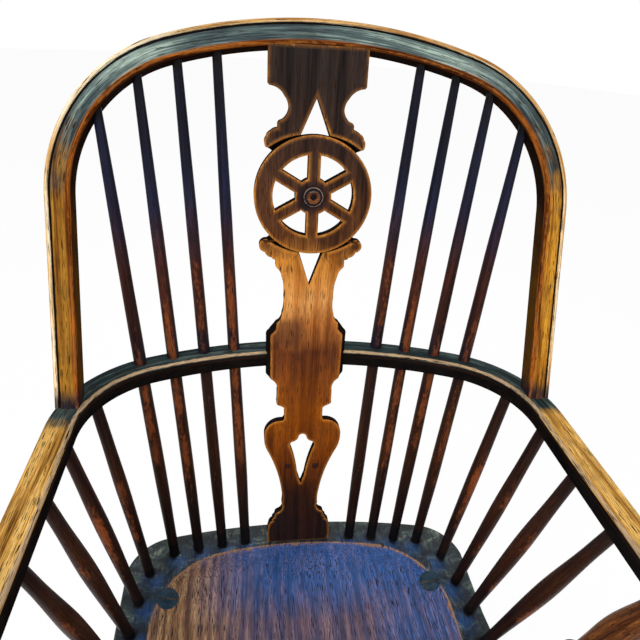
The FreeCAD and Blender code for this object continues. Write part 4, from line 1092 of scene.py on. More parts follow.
# Each finish gives a pale colour for rubbed wear, which on the arm bow's arrises, the sticks'
# fronts and the splat's edges is also a painted highlight; a dark colour for grime and painted
# shade; and a blue-grey colour for a painted reflection.
ELM = SeatFinish("elm_seat_waxed", worn=tone(176, 132, 96), grime=tone(14, 15, 20),
                 bloom=tone(44, 100, 172), ring_scale=210.0, ring_wander=0.8, pore_share=0.62,
                 pore_colour=tone(40, 32, 40), roughness=0.36, gloss=0.1, relief=0.5)
BOW_ASH = BowFinish("back_bow_ash_worn", worn=tone(168, 100, 40), grime=tone(14, 11, 11),
                    bloom=tone(24, 28, 44), ring_scale=160.0, pore_share=0.45,
                    pore_colour=tone(40, 24, 12), roughness=0.34)
ARM_ASH = ArmFinish("arm_bow_ash_worn", worn=tone(190, 160, 124), grime=tone(12, 10, 11),
                    ring_scale=160.0, pore_share=0.5, pore_colour=tone(34, 24, 14),
                    roughness=0.34)
SPLAT_BEECH = SplatFinish("splat_beech_waxed", worn=tone(206, 134, 58),
                          grime=tone(18, 15, 15), ring_scale=120.0, ring_wander=0.3,
                          pore_share=0.4, pore_colour=tone(48, 24, 12), roughness=0.38)
SPINDLE_ASH = SpindleFinish("spindle_ash_waxed", worn=tone(134, 68, 32),
                            grime=tone(10, 9, 13), ring_scale=150.0, pore_share=0.5,
                            roughness=0.28, gloss=0.04)
BOSS_BEECH = TurnedFinish("boss_beech_waxed", worn=tone(158, 128, 112),
                          grime=tone(16, 16, 24), bloom=tone(34, 34, 48), gloss=0.05)
TURNED_BEECH = TurnedFinish("turned_beech_waxed", worn=tone(184, 118, 62),
                            grime=tone(24, 16, 14), bloom=tone(34, 62, 78),
                            ring_scale=120.0, pore_share=0.4, roughness=0.3, gloss=0.06)
OAK = FixingFinish("fixing_oak_end", worn=tone(120, 90, 60), grime=tone(20, 18, 18),
                   roughness=0.45)


# The seat


@dataclass
class Seat:
    """The saddled seat: one elm board, dished behind a crisp ridge and bevelled below."""
    thickness: float = 40.0 * MM
    outline_half: list[Corner] = field(default_factory=lambda: corners_mm(
        (158.0, -372.4, 78.0), (220.0, -311.0), (205.0, -115.0), (205.0, -35.0, 56.0),
        (158.0, 11.0, 900.0)))
    front_bend: float = 1000.0 * MM
    bevel: float = 16.0 * MM
    bevel_height: float = 13.0 * MM
    edge_round: float = 3.0 * MM
    ridge: Hoop = Hoop(169.0 * MM, -8.0 * MM, 520.0 * MM, 92.0 * MM)
    dish_depth: float = 9.0 * MM
    slope_width: float = 52.0 * MM
    slope_power: float = 1.9
    hollow_radius: float = 425.0 * MM
    hollow_spread: float = 78.0 * MM
    hollow_depth: float = 5.0 * MM
    hollow_length: float = 250.0 * MM
    hollow_blend: float = 30.0 * MM
    deepest_share: float = 1.1
    front_y: float = -385.0 * MM
    front_inside: float = 6.0 * MM
    centre: Vector = field(default_factory=lambda: Vector((0.0, -165.0 * MM, 0.0)))
    step: float = 4.5 * MM
    slope_step: float = 8.0 * MM
    halvings: int = 30
    dish_rings: int = 46
    dish_spacing: float = 1.25
    underside: float = -14.0 * MM

    def inset(self, x: float, y: float) -> float:
        """How far inside the ridge a point lies, in the seat's own frame."""
        return -self.ridge.locate(x, y)[0]

    def drop(self, x: float, y: float) -> float:
        """How deep the saddle is at a point.

        Args:
            x: the point's place across the seat.
            y: its place along the seat.

        Returns:
            The depth below the seat's top.
        """
        inside = self.inset(x, y)
        if inside <= 0:
            return 0.0
        share = min(inside / self.slope_width, 1.0)
        dish = self.dish_depth * (1 - (1 - share) ** self.slope_power)
        forward = (self.front_y + self.hollow_length - y) / self.hollow_length
        bottom = self.dish_depth + self.hollow_depth * min(max(forward, 0.0), self.deepest_share)
        hollow = 0.0
        for thigh in (-self.hollow_spread, self.hollow_spread):
            reach = max(self.hollow_radius ** 2 - (x - thigh) ** 2, 0.0)
            hollow = max(hollow, bottom - self.hollow_radius + math.sqrt(reach))
        return dish + max(hollow - dish, 0.0) * smooth_step(0.0, self.hollow_blend, inside)

    def surface(self, x: float, y: float) -> Vector:
        """The point on the seat's top at a place in the seat's own frame, in the room."""
        return Vector((x, y + CHAIR_Y, SEAT_TOP - self.drop(x, y)))

    def slope(self, place: Vector) -> tuple[Vector, Vector]:
        """The point on the seat's top over a place in the room, and the way it faces.

        Args:
            place: the place in the room.

        Returns:
            The point, and the direction that the top faces there.
        """
        x, y, step = place.x, place.y - CHAIR_Y, self.slope_step
        right, left = self.surface(x + step, y), self.surface(x - step, y)
        along = self.surface(x, y + step) - self.surface(x, y - step)
        return (right + left) / 2, (right - left).cross(along).normalized()

    def ridge_share(self, point: Vector) -> float:
        """Where the ridge, or the front edge's inside, crosses the line to the seat's centre.

        Args:
            point: the point of the outline that the line starts at.

        Returns:
            The share of the line up to there.
        """
        low, high = 0.0, 1.0
        for _ in range(self.halvings):
            share = (low + high) / 2
            here = point.lerp(self.centre, share)
            if min(self.inset(here.x, here.y), here.y - self.front_y - self.front_inside) < 0:
                low = share
            else:
                high = share
        return high

    def build(self, feet: Sequence[Vector]) -> Object:
        """Makes the seat from rings that close in from its outline, above and below.

        Args:
            feet: where the sticks and the splat stand on the seat, in the seat's own frame.

        Returns:
            The finished seat.
        """
        stock = Stock("seat")
        shape = stock.shape
        deck = shape.verts.layers.float.new("deck")
        edges = trace(shape, mirrored(self.outline_half, self.front_bend), 0.0, self.step,
                      self.step)
        outline = {point: point.co.copy() for edge in edges for point in edge.verts}
        ridges = {point: self.ridge_share(place) for point, place in outline.items()}
        length = {point: (place - self.centre).length for point, place in outline.items()}
        home = {point: point for point in outline}
        bmesh.ops.translate(shape, vec=(0, 0, -self.edge_round), verts=list(outline))

        def ring(edges: list[BMEdge], inward: float, fall: float | None = None,
                 to_ridge: float = 0.0, to_centre: float = 0.0) -> list[BMEdge]:
            """Extrudes a ring of edges toward the seat's centre.

            Args:
                edges: the last ring's edges.
                inward: how far the new ring lies inside the outline.
                fall: how far it lies below the seat's top, or None for the saddle's depth.
                to_ridge: the share of the way on from there to the ridge.
                to_centre: the share of the way on from there to the centre.

            Returns:
                The new ring's edges.
            """
            points, ends = grow(shape, edges)
            fresh = {point: next(home[edge.other_vert(point)] for edge in point.link_edges
                                 if edge.other_vert(point) in home) for point in points}
            for point, start in fresh.items():
                share = inward / length[start]
                share += (ridges[start] - share) * to_ridge
                share += (1 - share) * to_centre
                place = outline[start].lerp(self.centre, share)
                point.co = (place.x, place.y,
                            -self.drop(place.x, place.y) if fall is None else -fall)
            home.update(fresh)
            return ends

        top = low = edges
        for turn in (30, 60, 90):
            angle = math.radians(turn)
            top = ring(top, self.edge_round * (1 - math.cos(angle)),
                       self.edge_round * (1 - math.sin(angle)))
        for share in (0.25, 0.5, 0.75, 0.93, 0.99, 1.0):
            top = ring(top, self.edge_round, to_ridge=share)
        for number in range(1, self.dish_rings):
            top = ring(top, self.edge_round, to_ridge=1.0,
                       to_centre=(number / self.dish_rings) ** self.dish_spacing)
        bmesh.ops.contextual_create(shape, geom=top)
        straight = self.thickness - self.bevel_height
        for inward, fall in ((0.0, straight * 0.5), (0.0, straight - 1.2 * MM),
                             (0.6 * MM, straight + 0.4 * MM),
                             (self.bevel - 1 * MM, self.thickness - 0.8 * MM),
                             (self.bevel + 1 * MM, self.thickness),
                             (self.bevel + 60 * MM, self.thickness)):
            low = ring(low, inward, fall)
        bmesh.ops.contextual_create(shape, geom=low)
        stock.close()
        for point in shape.verts:
            place = point.co
            point[deck] = 1.0 - smooth_step(-1.5 * MM, 1.5 * MM, self.inset(place.x, place.y))
            point[deck] += (0.3 - point[deck]) * smooth_step(-20 * MM, -26 * MM, place.z)
        stock.mark("worn", lambda point: self.wear_and_highlight(point.co))
        stock.mark("grime", lambda point: self.painted_shade(point.co, feet))
        stock.mark("bloom", lambda point: self.bloom(point.co, feet))
        stock.lay_grain(lambda place: place.xzy)
        stock.move(Matrix.Translation((0, CHAIR_Y, SEAT_TOP)))
        return stock.finish(ELM, Slot.SEAT)

    def wear_and_highlight(self, place: Vector) -> float:
        """Rubbed along the ridge and the seat's top edge.

        Args:
            place: a point of the seat, in its own frame.

        Returns:
            How worn it is.
        """
        if place.z < self.underside:
            return 0.15
        on_ridge = peak(self.inset(place.x, place.y), 0.0, 1.2 * MM)
        edge = smooth_step(-3 * MM, 0.0, place.z) * (1 - smooth_step(-0.9 * MM, 0.0, place.z))
        return on_ridge * (0.62 if place.y > self.front_y + 20 * MM else 0.3) + edge * 0.5

    def painted_shade(self, place: Vector, feet: Sequence[Vector]) -> float:
        """Painted contact shade round the foot of each stick, and painted shade over the
        underside.

        Args:
            place: a point of the seat, in its own frame.
            feet: where the sticks stand.

        Returns:
            How dark it is painted.
        """
        # painted shade: dark rings round the stick feet, and a darker underside
        near = min((place.xy - foot.xy).length for foot in feet)
        return 0.9 * (1 - smooth_step(6 * MM, 11 * MM, near)) \
            if place.z > self.underside else 0.35

    def bloom(self, place: Vector, feet: Sequence[Vector]) -> float:
        """Painted blue reflection before the foot of each stick and in the rear of the dish.

        Args:
            place: a point of the seat, in its own frame.
            feet: where the sticks stand.

        Returns:
            How strong the painted reflection is.
        """
        x, y, z = place
        if z < self.underside - 2 * MM:
            return 0.0
        # painted reflection: a blue patch before each stick foot, and blue sky reflections in
        # the rear of the dish
        amounts = [0.5 * peak(x, foot.x * 0.95, 10 * MM) * peak(y, foot.y - 12 * MM, 12 * MM)
                   for foot in feet]
        if self.inset(x, y) > 0:
            amounts += [
                0.86 * smooth_step(-140 * MM, -50 * MM, y) * smooth_step(-150 * MM, -30 * MM, x),
                0.68 * smooth_step(40 * MM, 110 * MM, x) * smooth_step(-230 * MM, -120 * MM, y),
                0.3 * smooth_step(-300 * MM, -120 * MM, y) * smooth_step(-120 * MM, -60 * MM, x)]
        return max(amounts)


# The two bows


@dataclass
class ArmBow:
    """The arm bow: a flat stick of ash, bent to a hoop and rounded at the hands."""
    line: Hoop = Hoop(226.0 * MM, 45.5 * MM, 438.0 * MM, 103.0 * MM)
    width: float = 24.0 * MM
    thickness: float = 18.0 * MM
    front: float = -290.0 * MM
    top_round: float = 2.6 * MM
    under_round: float = 1.4 * MM
    level: float = SEAT_TOP + 265.0 * MM
    rise_angle: float = 1.5
    hand_steps: int = 8

    @property
    def plane(self) -> Matrix:
        """The plane of the bow's top, in the room."""
        return (Matrix.Translation((0, CHAIR_Y, self.level))
                @ Matrix.Rotation(math.radians(-self.rise_angle), 4, "X"))

    def section(self) -> list[Corner]:
        """The bow's section: outward along X and up along Y, its top at 0.

        Returns:
            The section's corners.
        """
        half, top, under, low = self.width / 2, self.top_round, self.under_round, -self.thickness
        return [Corner(half - under, low, under), Corner(half, under + low),
                Corner(half, -top, top), Corner(half - top, 0.0), Corner(top - half, 0.0, top),
                Corner(-half, -top), Corner(-half, under + low, under),
                Corner(under - half, low)]

    def build(self) -> Object:
        """Makes the arm bow.

        Returns:
            The finished bow.
        """
        stock = Stock("arm_bow")
        foot = self.front + self.width / 2
        first, last = self.line.bend(stock.shape, self.section(), foot, 0.7 * MM)
        self.round_hand(stock.shape, first, self.line.half, foot)
        self.round_hand(stock.shape, last, -self.line.half, foot)
        stock.close()
        stock.mark("worn", self.wear_and_highlight)
        # painted shade on the lower half of the bow
        stock.mark("grime", lambda point: 0.75 * smooth_step(
            -3 * MM, -self.thickness / 2, point.co.z))
        stock.lay_grain(self.line.grain)
        stock.move(self.plane)
        return stock.finish(ARM_ASH, Slot.ARM_BOW)

    def wear_and_highlight(self, point: BMVert) -> float:
        """Rubbed along both top edges, the inner one most, with a painted highlight along those
        arrises.

        Args:
            point: a point of the bow, in its own frame.

        Returns:
            How much it is lightened.
        """
        outward, half = self.line.grain(point.co).x, self.width / 2
        # rubbed wear and a painted highlight along the top arrises
        edge = max(peak(outward, 1 * MM - half, 2.2 * MM), 0.45 * peak(outward, half, 1.2 * MM))
        return edge * peak(point.co.z, -0.6 * MM, 1.6 * MM)

    def round_hand(self, shape: BMesh, ends: list[BMEdge], centre_x: float,
                   foot: float) -> None:
        """Rounds one end of the bow to a half circle, seen from above.

        Args:
            shape: the bow's mesh.
            ends: the section's edges at that end.
            centre_x: the middle of the section.
            foot: where the rounding starts.
        """
        narrow = 1.0
        for number in range(1, self.hand_steps + 1):
            angle = math.pi / 2 * number / self.hand_steps
            now = max(math.cos(angle), 0.02)
            points, ends = grow(shape, ends)
            bmesh.ops.scale(shape, vec=(now / narrow, 1, 1), verts=points,
                            space=Matrix.Translation((-centre_x, 0, 0)))
            for point in points:
                point.co.y = foot - self.width / 2 * math.sin(angle)
            narrow = now
        bmesh.ops.contextual_create(shape, geom=ends)


@dataclass
class BackBow:
    """The back bow: a moulded stick of ash with a bead along its outer edge."""
    arm_bow: ArmBow
    line: Hoop = Hoop(224.5 * MM, 325.4 * MM, 449.5 * MM, 129.5 * MM)
    rake: float = 21.3
    lean: float = 0.35
    setback: float = 48.6 * MM
    half_face: float = 10.5 * MM
    half_depth: float = 10.0 * MM
    bead: float = 3.4 * MM
    groove: float = 2.2 * MM
    groove_depth: float = 1.7 * MM
    ease: float = 1.2 * MM
    round_in: float = 3.4 * MM
    extra_foot: float = 12.0 * MM

    @property
    def plane(self) -> Matrix:
        """The plane of the bow's line, in the room: Y up the bow and Z to the front."""
        return (Matrix.Translation(self.arm_bow.plane @ Vector((0, -self.setback, 0)))
                @ Matrix.Rotation(math.radians(90 - self.rake), 4, "X")
                @ Matrix.Rotation(math.radians(-self.lean), 4, "Z"))

    def section(self) -> list[Corner]:
        """The moulded section: outward along X, to the front along Y.

        Returns:
            The section's corners.
        """
        out, deep, bead, ease = self.half_face, self.half_depth, self.bead, self.ease
        low, groove, round_in = deep - self.groove_depth, self.groove, self.round_in
        inner, bead_round = out - bead, bead * 0.62
        return [Corner(out - ease, -deep, ease), Corner(out, ease - deep),
                Corner(out, deep - bead * 0.75, bead_round),
                Corner(out - bead * 0.5, deep - 0.1 * MM, bead_round),
                Corner(inner, low + 0.5 * MM), Corner(inner - groove * 0.35, low),
                Corner(inner - groove * 0.65, low),
                Corner(inner - groove, low + 0.9 * MM, 1.1 * MM),
                Corner(inner - groove - 0.9 * MM, deep),
                Corner(round_in - out, deep, round_in), Corner(-out, deep - round_in),
                Corner(-out, ease - deep, ease), Corner(ease - out, -deep)]

    def build(self) -> Object:
        """Makes the back bow and cuts its feet to the arm bow.

        Returns:
            The finished bow.
        """
        stock = Stock("back_bow")
        for ends in self.line.bend(stock.shape, self.section(), -self.extra_foot, 0.8 * MM):
            bmesh.ops.contextual_create(stock.shape, geom=ends)
        stock.close()
        stock.mark("worn", self.wear_and_highlight)
        stock.mark("grime", self.painted_shade)
        stock.lay_grain(self.line.grain)
        stock.move(self.plane)
        floor = self.arm_bow.plane
        stock.cut_off(floor.translation, -floor.col[2].xyz)
        level = floor.inverted()
        # painted dark blue sheen on the feet just above the arm bow
        stock.mark("bloom", lambda point: 0.9 * (
            1 - smooth_step(4 * MM, 20 * MM, (level @ point.co).z)))
        bmesh.ops.recalc_face_normals(stock.shape, faces=list(stock.shape.faces))
        return stock.finish(BOW_ASH, Slot.BACK_BOW)

    def wear_and_highlight(self, point: BMVert) -> float:
        """Rubbed on the inner round.

        Args:
            point: a point of the bow, in its own frame.

        Returns:
            How worn it is.
        """
        outward, front, _ = self.line.grain(point.co)
        return 0.5 * smooth_step(self.half_depth - 4 * MM, self.half_depth - 1 * MM, front) \
            * peak(outward, 1.5 * MM - self.half_face, 1.6 * MM)

    def painted_shade(self, point: BMVert) -> float:
        """Painted shade in the groove and down the back.

        Args:
            point: a point of the bow, in its own frame.

        Returns:
            How dark it is painted.
        """
        outward, front, _ = self.line.grain(point.co)
        # painted shade in the groove and on the back half
        groove = self.half_face - self.bead - self.groove / 2
        return max(peak(outward, groove, 1.2 * MM) if front > 0 else 0.0,
                   0.3 * smooth_step(2 * MM, -8 * MM, front))


# The splat


@dataclass
class Splat:
    """The fretted splat with its wheel, in its own frame: Y up the board, front at Z 0."""
    tilt: float = 6.22
    lean: float = 0.3
    forward: float = 4.0 * MM
    below_solid: float = 6.0 * MM
    thickness: float = 9.0 * MM
    wheel_y: float = 436.5 * MM
    wheel: float = 56.0 * MM
    rim: float = 17.5 * MM
    hub: float = 17.25 * MM
    spoke: float = 11.5 * MM
    spokes: int = 6
    proud: float = 2.0 * MM
    arris: float = 0.8 * MM
    arris_fall: float = 0.56 * MM
    step: float = 1.3 * MM
    edge_fall: float = 1.3 * MM
    back_inset: float = 1.0 * MM
    kerf: float = 5.2 * MM
    joint: float = 1.0 * MM
    horn_bend: float = -62.0 * MM
    horn_reach: float = 43.2 * MM
    shield_flare: float = 4.2 * MM
    shield_drop: float = 1.2 * MM
    flare_start: float = 0.22
    boss: float = 10.0 * MM

    @property
    def top(self) -> float:
        """Where the board ends inside the bow, measured up its front."""
        solid_top = (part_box("splat")[1].z - SEAT_TOP) / math.cos(math.radians(self.tilt))
        return solid_top - self.below_solid

    @property
    def plane(self) -> Matrix:
        """The plane of the board's front, in the room."""
        return (Matrix.Translation((0, CHAIR_Y - self.forward, SEAT_TOP))
                @ Matrix.Rotation(math.radians(90 - self.tilt), 4, "X")
                @ Matrix.Rotation(math.radians(self.lean), 4, "Z"))

    def by_wheel(self, x: float, sign: int, clear: float, bend: float = 0.0) -> Corner:
        """The corner at x that lies clear of the wheel's rim, above or below it."""
        rise = math.sqrt((self.wheel + clear) ** 2 - x ** 2)
        return Corner(x, self.wheel_y + sign * rise, bend)

    def upper(self) -> list[Corner]:
        """The top block with its two horns, from the wheel up, less the triangle.

        Returns:
            The outline's corners.
        """
        half = [self.by_wheel(13.6 * MM, 1, self.joint, self.horn_bend),
                self.by_wheel(43.0 * MM, 1, self.kerf, 2.4 * MM)]
        half += corners_mm(
            (46.2, 482.5, 7.0), (45.0, 489.5, 7.0), (41.0, 494.6, 9.0), (34.8, 497.4),
            (34.9, 500.6, 4.0), (33.4, 503.4, -9.0), (28.2, 506.8, -13.5), (25.0, 514.6, -15.0),
            (28.6, 523.6, -17.0), (42.6, 532.6), (44.0, 534.2))
        half.append(Corner(44.0 * MM, self.top))
        return mirrored(half) + corners_mm((0.0, 524.0))

    def lower(self) -> list[Corner]:
        """The lower horns, waist, shield, vase and foot, from the seat to the wheel.

        Returns:
            The outline's corners.
        """
        half = corners_mm(
            (38.3, -2.0), (38.9, 9.0, 60.0), (37.4, 27.0, 9.0), (33.0, 33.6), (33.2, 36.2),
            (30.2, 40.0, 7.0), (25.2, 47.6, -10.0), (21.9, 60.0, -60.0), (22.4, 80.0, -190.0),
            (40.6, 142.0, 46.0), (44.0, 161.0, 20.0), (37.0, 177.4, 19.0), (23.4, 181.6),
            (21.5, 184.4), (21.5, 198.0), (23.8, 200.4), (29.4, 203.0, 4.0), (30.5, 207.6),
            (30.5, 221.0, -14.0), (36.6, 236.0), (37.6, 240.0), (37.8, 286.0, 6.0),
            (35.0, 292.4), (32.4, 296.0), (32.0, 304.0, -12.0), (27.0, 314.0, -40.0),
            (25.5, 332.0, -60.0), (28.4, 356.0, -14.0), (33.2, 364.6), (34.4, 366.4),
            (34.4, 373.4, 3.0), (38.4, 375.4, 8.0), (45.2, 381.0, 6.0))
        tip = self.by_wheel(42.6 * MM, -1, self.kerf, self.horn_bend)
        half += [Corner(tip.x + 1.0 * MM, tip.y + 1.2 * MM, 2.2 * MM), tip,
                 self.by_wheel(12.2 * MM, -1, self.joint)]
        return half + corners_mm((0.0, 346.0)) + mirrored(half)[len(half):]

    def keyhole(self) -> list[Corner]:
        """The pierced teardrop with its cusped head."""
        return mirrored(corners_mm(
            (0.4, 92.0), (4.0, 104.0, -190.0), (13.4, 144.6, 6.0), (12.0, 152.2, -9.0),
            (4.6, 158.6, 4.4)))

    def sector(self, number: int) -> list[Corner]:
        """One opening of the wheel between two spokes.

        Args:
            number: which opening, counted round from the right.

        Returns:
            The outline's corners.
        """
        inner, half = self.wheel - self.rim, math.pi / self.spokes
        corners = []
        for radius, side, bend in ((self.hub, -1, 0.0), (inner, -1, inner), (inner, 1, 0.0),
                                   (self.hub, 1, -self.hub)):
            angle = 2 * half * number + side * (half - math.asin(self.spoke / 2 / radius))
            corners.append(Corner(radius * math.cos(angle),
                                  self.wheel_y + radius * math.sin(angle), bend))
        return corners

    def flare(self, place: Vector) -> Vector:
        """How far the board's edge stands out at the back, beyond its front.

        Args:
            place: a point of the outline at the front.

        Returns:
            Its shift at the back of the board.
        """
        from_hub = Vector((place.x, place.y - self.wheel_y, 0))
        beyond = from_hub.length - self.wheel
        if 0.5 * MM < beyond < self.kerf + self.joint and abs(place.x) < self.horn_reach:
            return -from_hub.normalized() * (beyond + 0.3 * MM)
        shield = smooth_step(230 * MM, 240 * MM, place.y) * smooth_step(
            306 * MM, 296 * MM, place.y) * smooth_step(26 * MM, 32 * MM, abs(place.x))
        return shield * Vector((math.copysign(self.shield_flare, place.x),
                                self.shield_drop * smooth_step(280 * MM, 296 * MM, place.y), 0))

    def fret(self, stock: Stock, outlines: Sequence[Sequence[Corner]], front: float,
             flared: bool) -> None:
        """Saws a board out along its outlines and breaks its front edges, with painted light
        along the front edges and painted shade on the sawn walls and the back.

        Args:
            stock: the piece that the board is added to.
            outlines: the outer outline and those of its holes.
            front: the height of its front.
            flared: whether its edge stands out at the back where the splat's does.
        """
        shape = stock.shape
        worn, grime, edge_highlight = (stock.marks[word] for word in ("worn", "grime", "bloom"))
        edges: list[BMEdge] = []
        for corners in outlines:
            edges += trace(shape, corners, front - self.arris_fall, self.step)
        faces = fill(shape, edges)
        for face in faces:
            if face.normal.z < 0:
                face.normal_flip()
        # the front arris: lighter as rubbed wear and painted edge highlight, and given painted
        # orange edge light
        for point in {point for edge in edges for point in edge.verts}:
            above = smooth_step(488 * MM, 500 * MM, point.co.y)
            point[worn] = 0.46 - 0.14 * above
            point[edge_highlight] = 0.95 - 0.45 * above
        # painted shade: the sawn walls near black
        shallow, shallow_edges = grow(shape, edges)
        for point in shallow:
            point.co.z -= self.edge_fall
            point[worn], point[grime], point[edge_highlight] = 0.0, 1.0, 0.0
            if flared:
                point.co += self.flare(point.co) * self.flare_start
        deep, deep_edges = grow(shape, shallow_edges)
        for point in deep:
            if flared:
                point.co += self.flare(point.co)
            point.co.z = -self.thickness
            point[grime] = 1.0
        rear = fill(shape, deep_edges)
        inset(shape, rear, self.back_inset)
        # painted shade: the back a little darker
        for point in {point for face in rear for point in face.verts}:
            point[grime] = 0.25
        inset(shape, faces, self.arris, self.arris_fall)
        # the painted edge light and the wear fade over the next two insets
        for width, left in ((1.2 * MM, 0.5), (1.6 * MM, 0.0)):
            inset(shape, faces, width)
            for point in {point for face in faces for point in face.verts}:
                point[worn] *= left
                point[edge_highlight] *= left

    def build(self) -> Object:
        """Makes the splat: two boards that meet the wheel, and the wheel's disc.

        Returns:
            The finished splat.
        """
        stock = Stock("splat")
        disc = [Corner(self.wheel * x, self.wheel_y + self.wheel * y, self.wheel)
                for x, y in ((1, 0), (0, 1), (-1, 0), (0, -1))]
        sectors = [self.sector(number) for number in range(self.spokes)]
        self.fret(stock, [self.upper()], 0.0, True)
        self.fret(stock, [self.lower(), self.keyhole()], 0.0, True)
        self.fret(stock, [disc] + sectors, self.proud, False)
        bmesh.ops.recalc_face_normals(stock.shape, faces=list(stock.shape.faces))
        stock.lay_grain(lambda place: place.xzy, 3, 0, 0)
        stock.move(self.plane)
        return stock.finish(SPLAT_BEECH, Slot.SPLAT, crease=32.0)

    def build_boss(self) -> Object:
        """Makes the turned boss on the wheel's hub.

        Returns:
            The finished boss.
        """
        stock = Stock("splat_boss")
        turn_on_lathe(stock.shape, (-1.0 * MM, self.boss), [
            Cut(TAPER, 0.4 * MM, self.boss), Cut(BEAD, 1.6 * MM, 8.2 * MM, 0.7 * MM, 6),
            Cut(COVE, 1.9 * MM, 6.8 * MM, 0.4 * MM, 5),
            Cut(BEAD, 3.6 * MM, 4.6 * MM, 0.9 * MM, 8), Cut(TAPER, 3.0 * MM, 3.2 * MM),
            Cut(COVE, 1.8 * MM, 1.6 * MM, 0.2 * MM, 4),
            Cut(BEAD, 2.4 * MM, 0.3 * MM, 0.2 * MM, 4)], 48)
        stock.close()
        stock.mark("worn", lambda point: 0.62 * peak(
            point.co.xy.length, 8.9 * MM, 0.7 * MM) + 0.3 * peak(
            point.co.xy.length, 5.6 * MM, 0.9 * MM))
        # painted blue-grey sheen on the outer ring
        stock.mark("bloom", lambda point: 0.9 * smooth_step(
            5.6 * MM, 6.8 * MM, point.co.xy.length))
        stock.mark("grime", lambda point: 1 - min(
            smooth_step(1.0 * MM, 2.6 * MM, point.co.z),
            smooth_step(2.4 * MM, 3.4 * MM, point.co.xy.length)))
        stock.lay_grain(lambda place: place.yzx, 5, 0, 0)
        stock.move(self.plane @ Matrix.Translation((0, self.wheel_y, self.proud)))
        return stock.finish(BOSS_BEECH, Slot.SPLAT)


# Sticks


@dataclass
class Stick:
    """One slim stick, shaved by hand: a lathe form bent a little to pass through a point."""
    node: str
    seed: int
    start: Vector
    end: Vector
    front: Vector = field(default_factory=lambda: Vector((0, -0.92, 0.38)).normalized())
    sides: int = 24
    wobble: float = 0.22 * MM
    core: float = 2.0 * MM
    spring: float = 0.92

    def make(self, first: float, cuts: Sequence[Cut], pass_by: Vector | None) -> Object:
        """Makes the stick.

        Args:
            first: the radius at its lower end.
            cuts: its cuts, with heights in metres up its axis.
            pass_by: a point that its bent axis goes through, or None where it is straight.

        Returns:
            The finished stick.
        """
        stock = Stock(self.node)
        shape = stock.shape
        turn_on_lathe(shape, (0.0, first), cuts, self.sides)
        stock.close()
        shift = Vector((0.731, 0.37, 0.219)) * self.seed
        stock.lay_grain(Vector, *shift)
        for point in shape.verts:
            x, y, z = point.co
            flat = Vector((x, y, 0))
            if flat.length > self.core:
                uneven = noise.noise(Vector((x * 90, y * 90, z * 14)) + shift * 9)
                point.co += flat.normalized() * uneven * self.wobble
        stock.move(between(self.start, self.end))
        shape.normal_update()
        if pass_by is not None:
            chord = (self.end - self.start).normalized()
            length, knee = (self.end - self.start).length, (pass_by - self.start).dot(chord)
            bow = pass_by - self.start - chord * knee
            for point in shape.verts:
                along = (point.co - self.start).dot(chord)
                rise = along / knee if along < knee else (length - along) / (length - knee)
                point.co += bow * max(rise, 0.0) ** self.spring
        stock.mark("worn", self.wear_and_highlight)
        stock.mark("grime", self.painted_shade)
        return stock.finish(SPINDLE_ASH, Slot.SPINDLE)

    def share(self, point: BMVert) -> float:
        """How far up the stick a point lies, from 0 to 1."""
        way = self.end - self.start
        return (point.co - self.start).dot(way) / way.length_squared

    def wear_and_highlight(self, point: BMVert) -> float:
        """Lighter in patches on the front, between the sockets: rubbed wear and a painted
        highlight.

        Args:
            point: a point of the stick.

        Returns:
            How much it is lightened.
        """
        share = self.share(point)
        middle = smooth_step(0.08, 0.3, share) * smooth_step(0.8, 0.55, share)
        patch = noise.noise(Vector((self.seed * 3.1, 0, share * 4.0))) * 0.5
        # rubbed wear and a painted highlight on the front faces, in patches
        return smooth_step(0.35, 1.0, point.normal.dot(self.front)) * middle * (0.5 + patch)

    def painted_shade(self, point: BMVert) -> float:
        """Darker at both sockets, and painted shade round the back.

        Args:
            point: a point of the stick.

        Returns:
            How dark it is made.
        """
        share, facing = self.share(point), point.normal.dot(self.front)
        ends = 1 - smooth_step(0.02, 0.07, share) * smooth_step(1.0, 0.96, share)
        # painted shade round the back of the stick
        return max(ends, 0.42 * smooth_step(0.25, -0.3, facing))


@dataclass
class Spindles:
    """Eight slim sticks, four to a side, along the axes of their CAD nodes."""
    word: str
    seed: int
    foot: float
    end_gap: float

    def build(self) -> list[Vector]:
        """Makes the sticks.

        Returns:
            Where they stand on the seat, in the seat's own frame.
        """
        feet = []
        for side in Side:
            for number in range(1, 5):
                node = "%s_spindle_%s_%d" % (self.word, side.word, number)
                start = middle_of(node, SEAT_TOP - SUNK)
                end = middle_of(node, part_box(node)[1].z - self.end_gap)
                cuts, pass_by = self.turning(node, number, start, end)
                stick = Stick(node, self.seed + number * 2 + side.value, start, end)
                stick.make(self.foot, [Cut(TAPER, SUNK, self.foot), *cuts], pass_by)
                feet.append(on_seat(start))
        return feet

    def turning(self, node: str, number: int, start: Vector,
                end: Vector) -> tuple[list[Cut], Vector | None]:
        """The cuts of one stick, and the point that it passes by; each kind has its own."""
        raise NotImplementedError


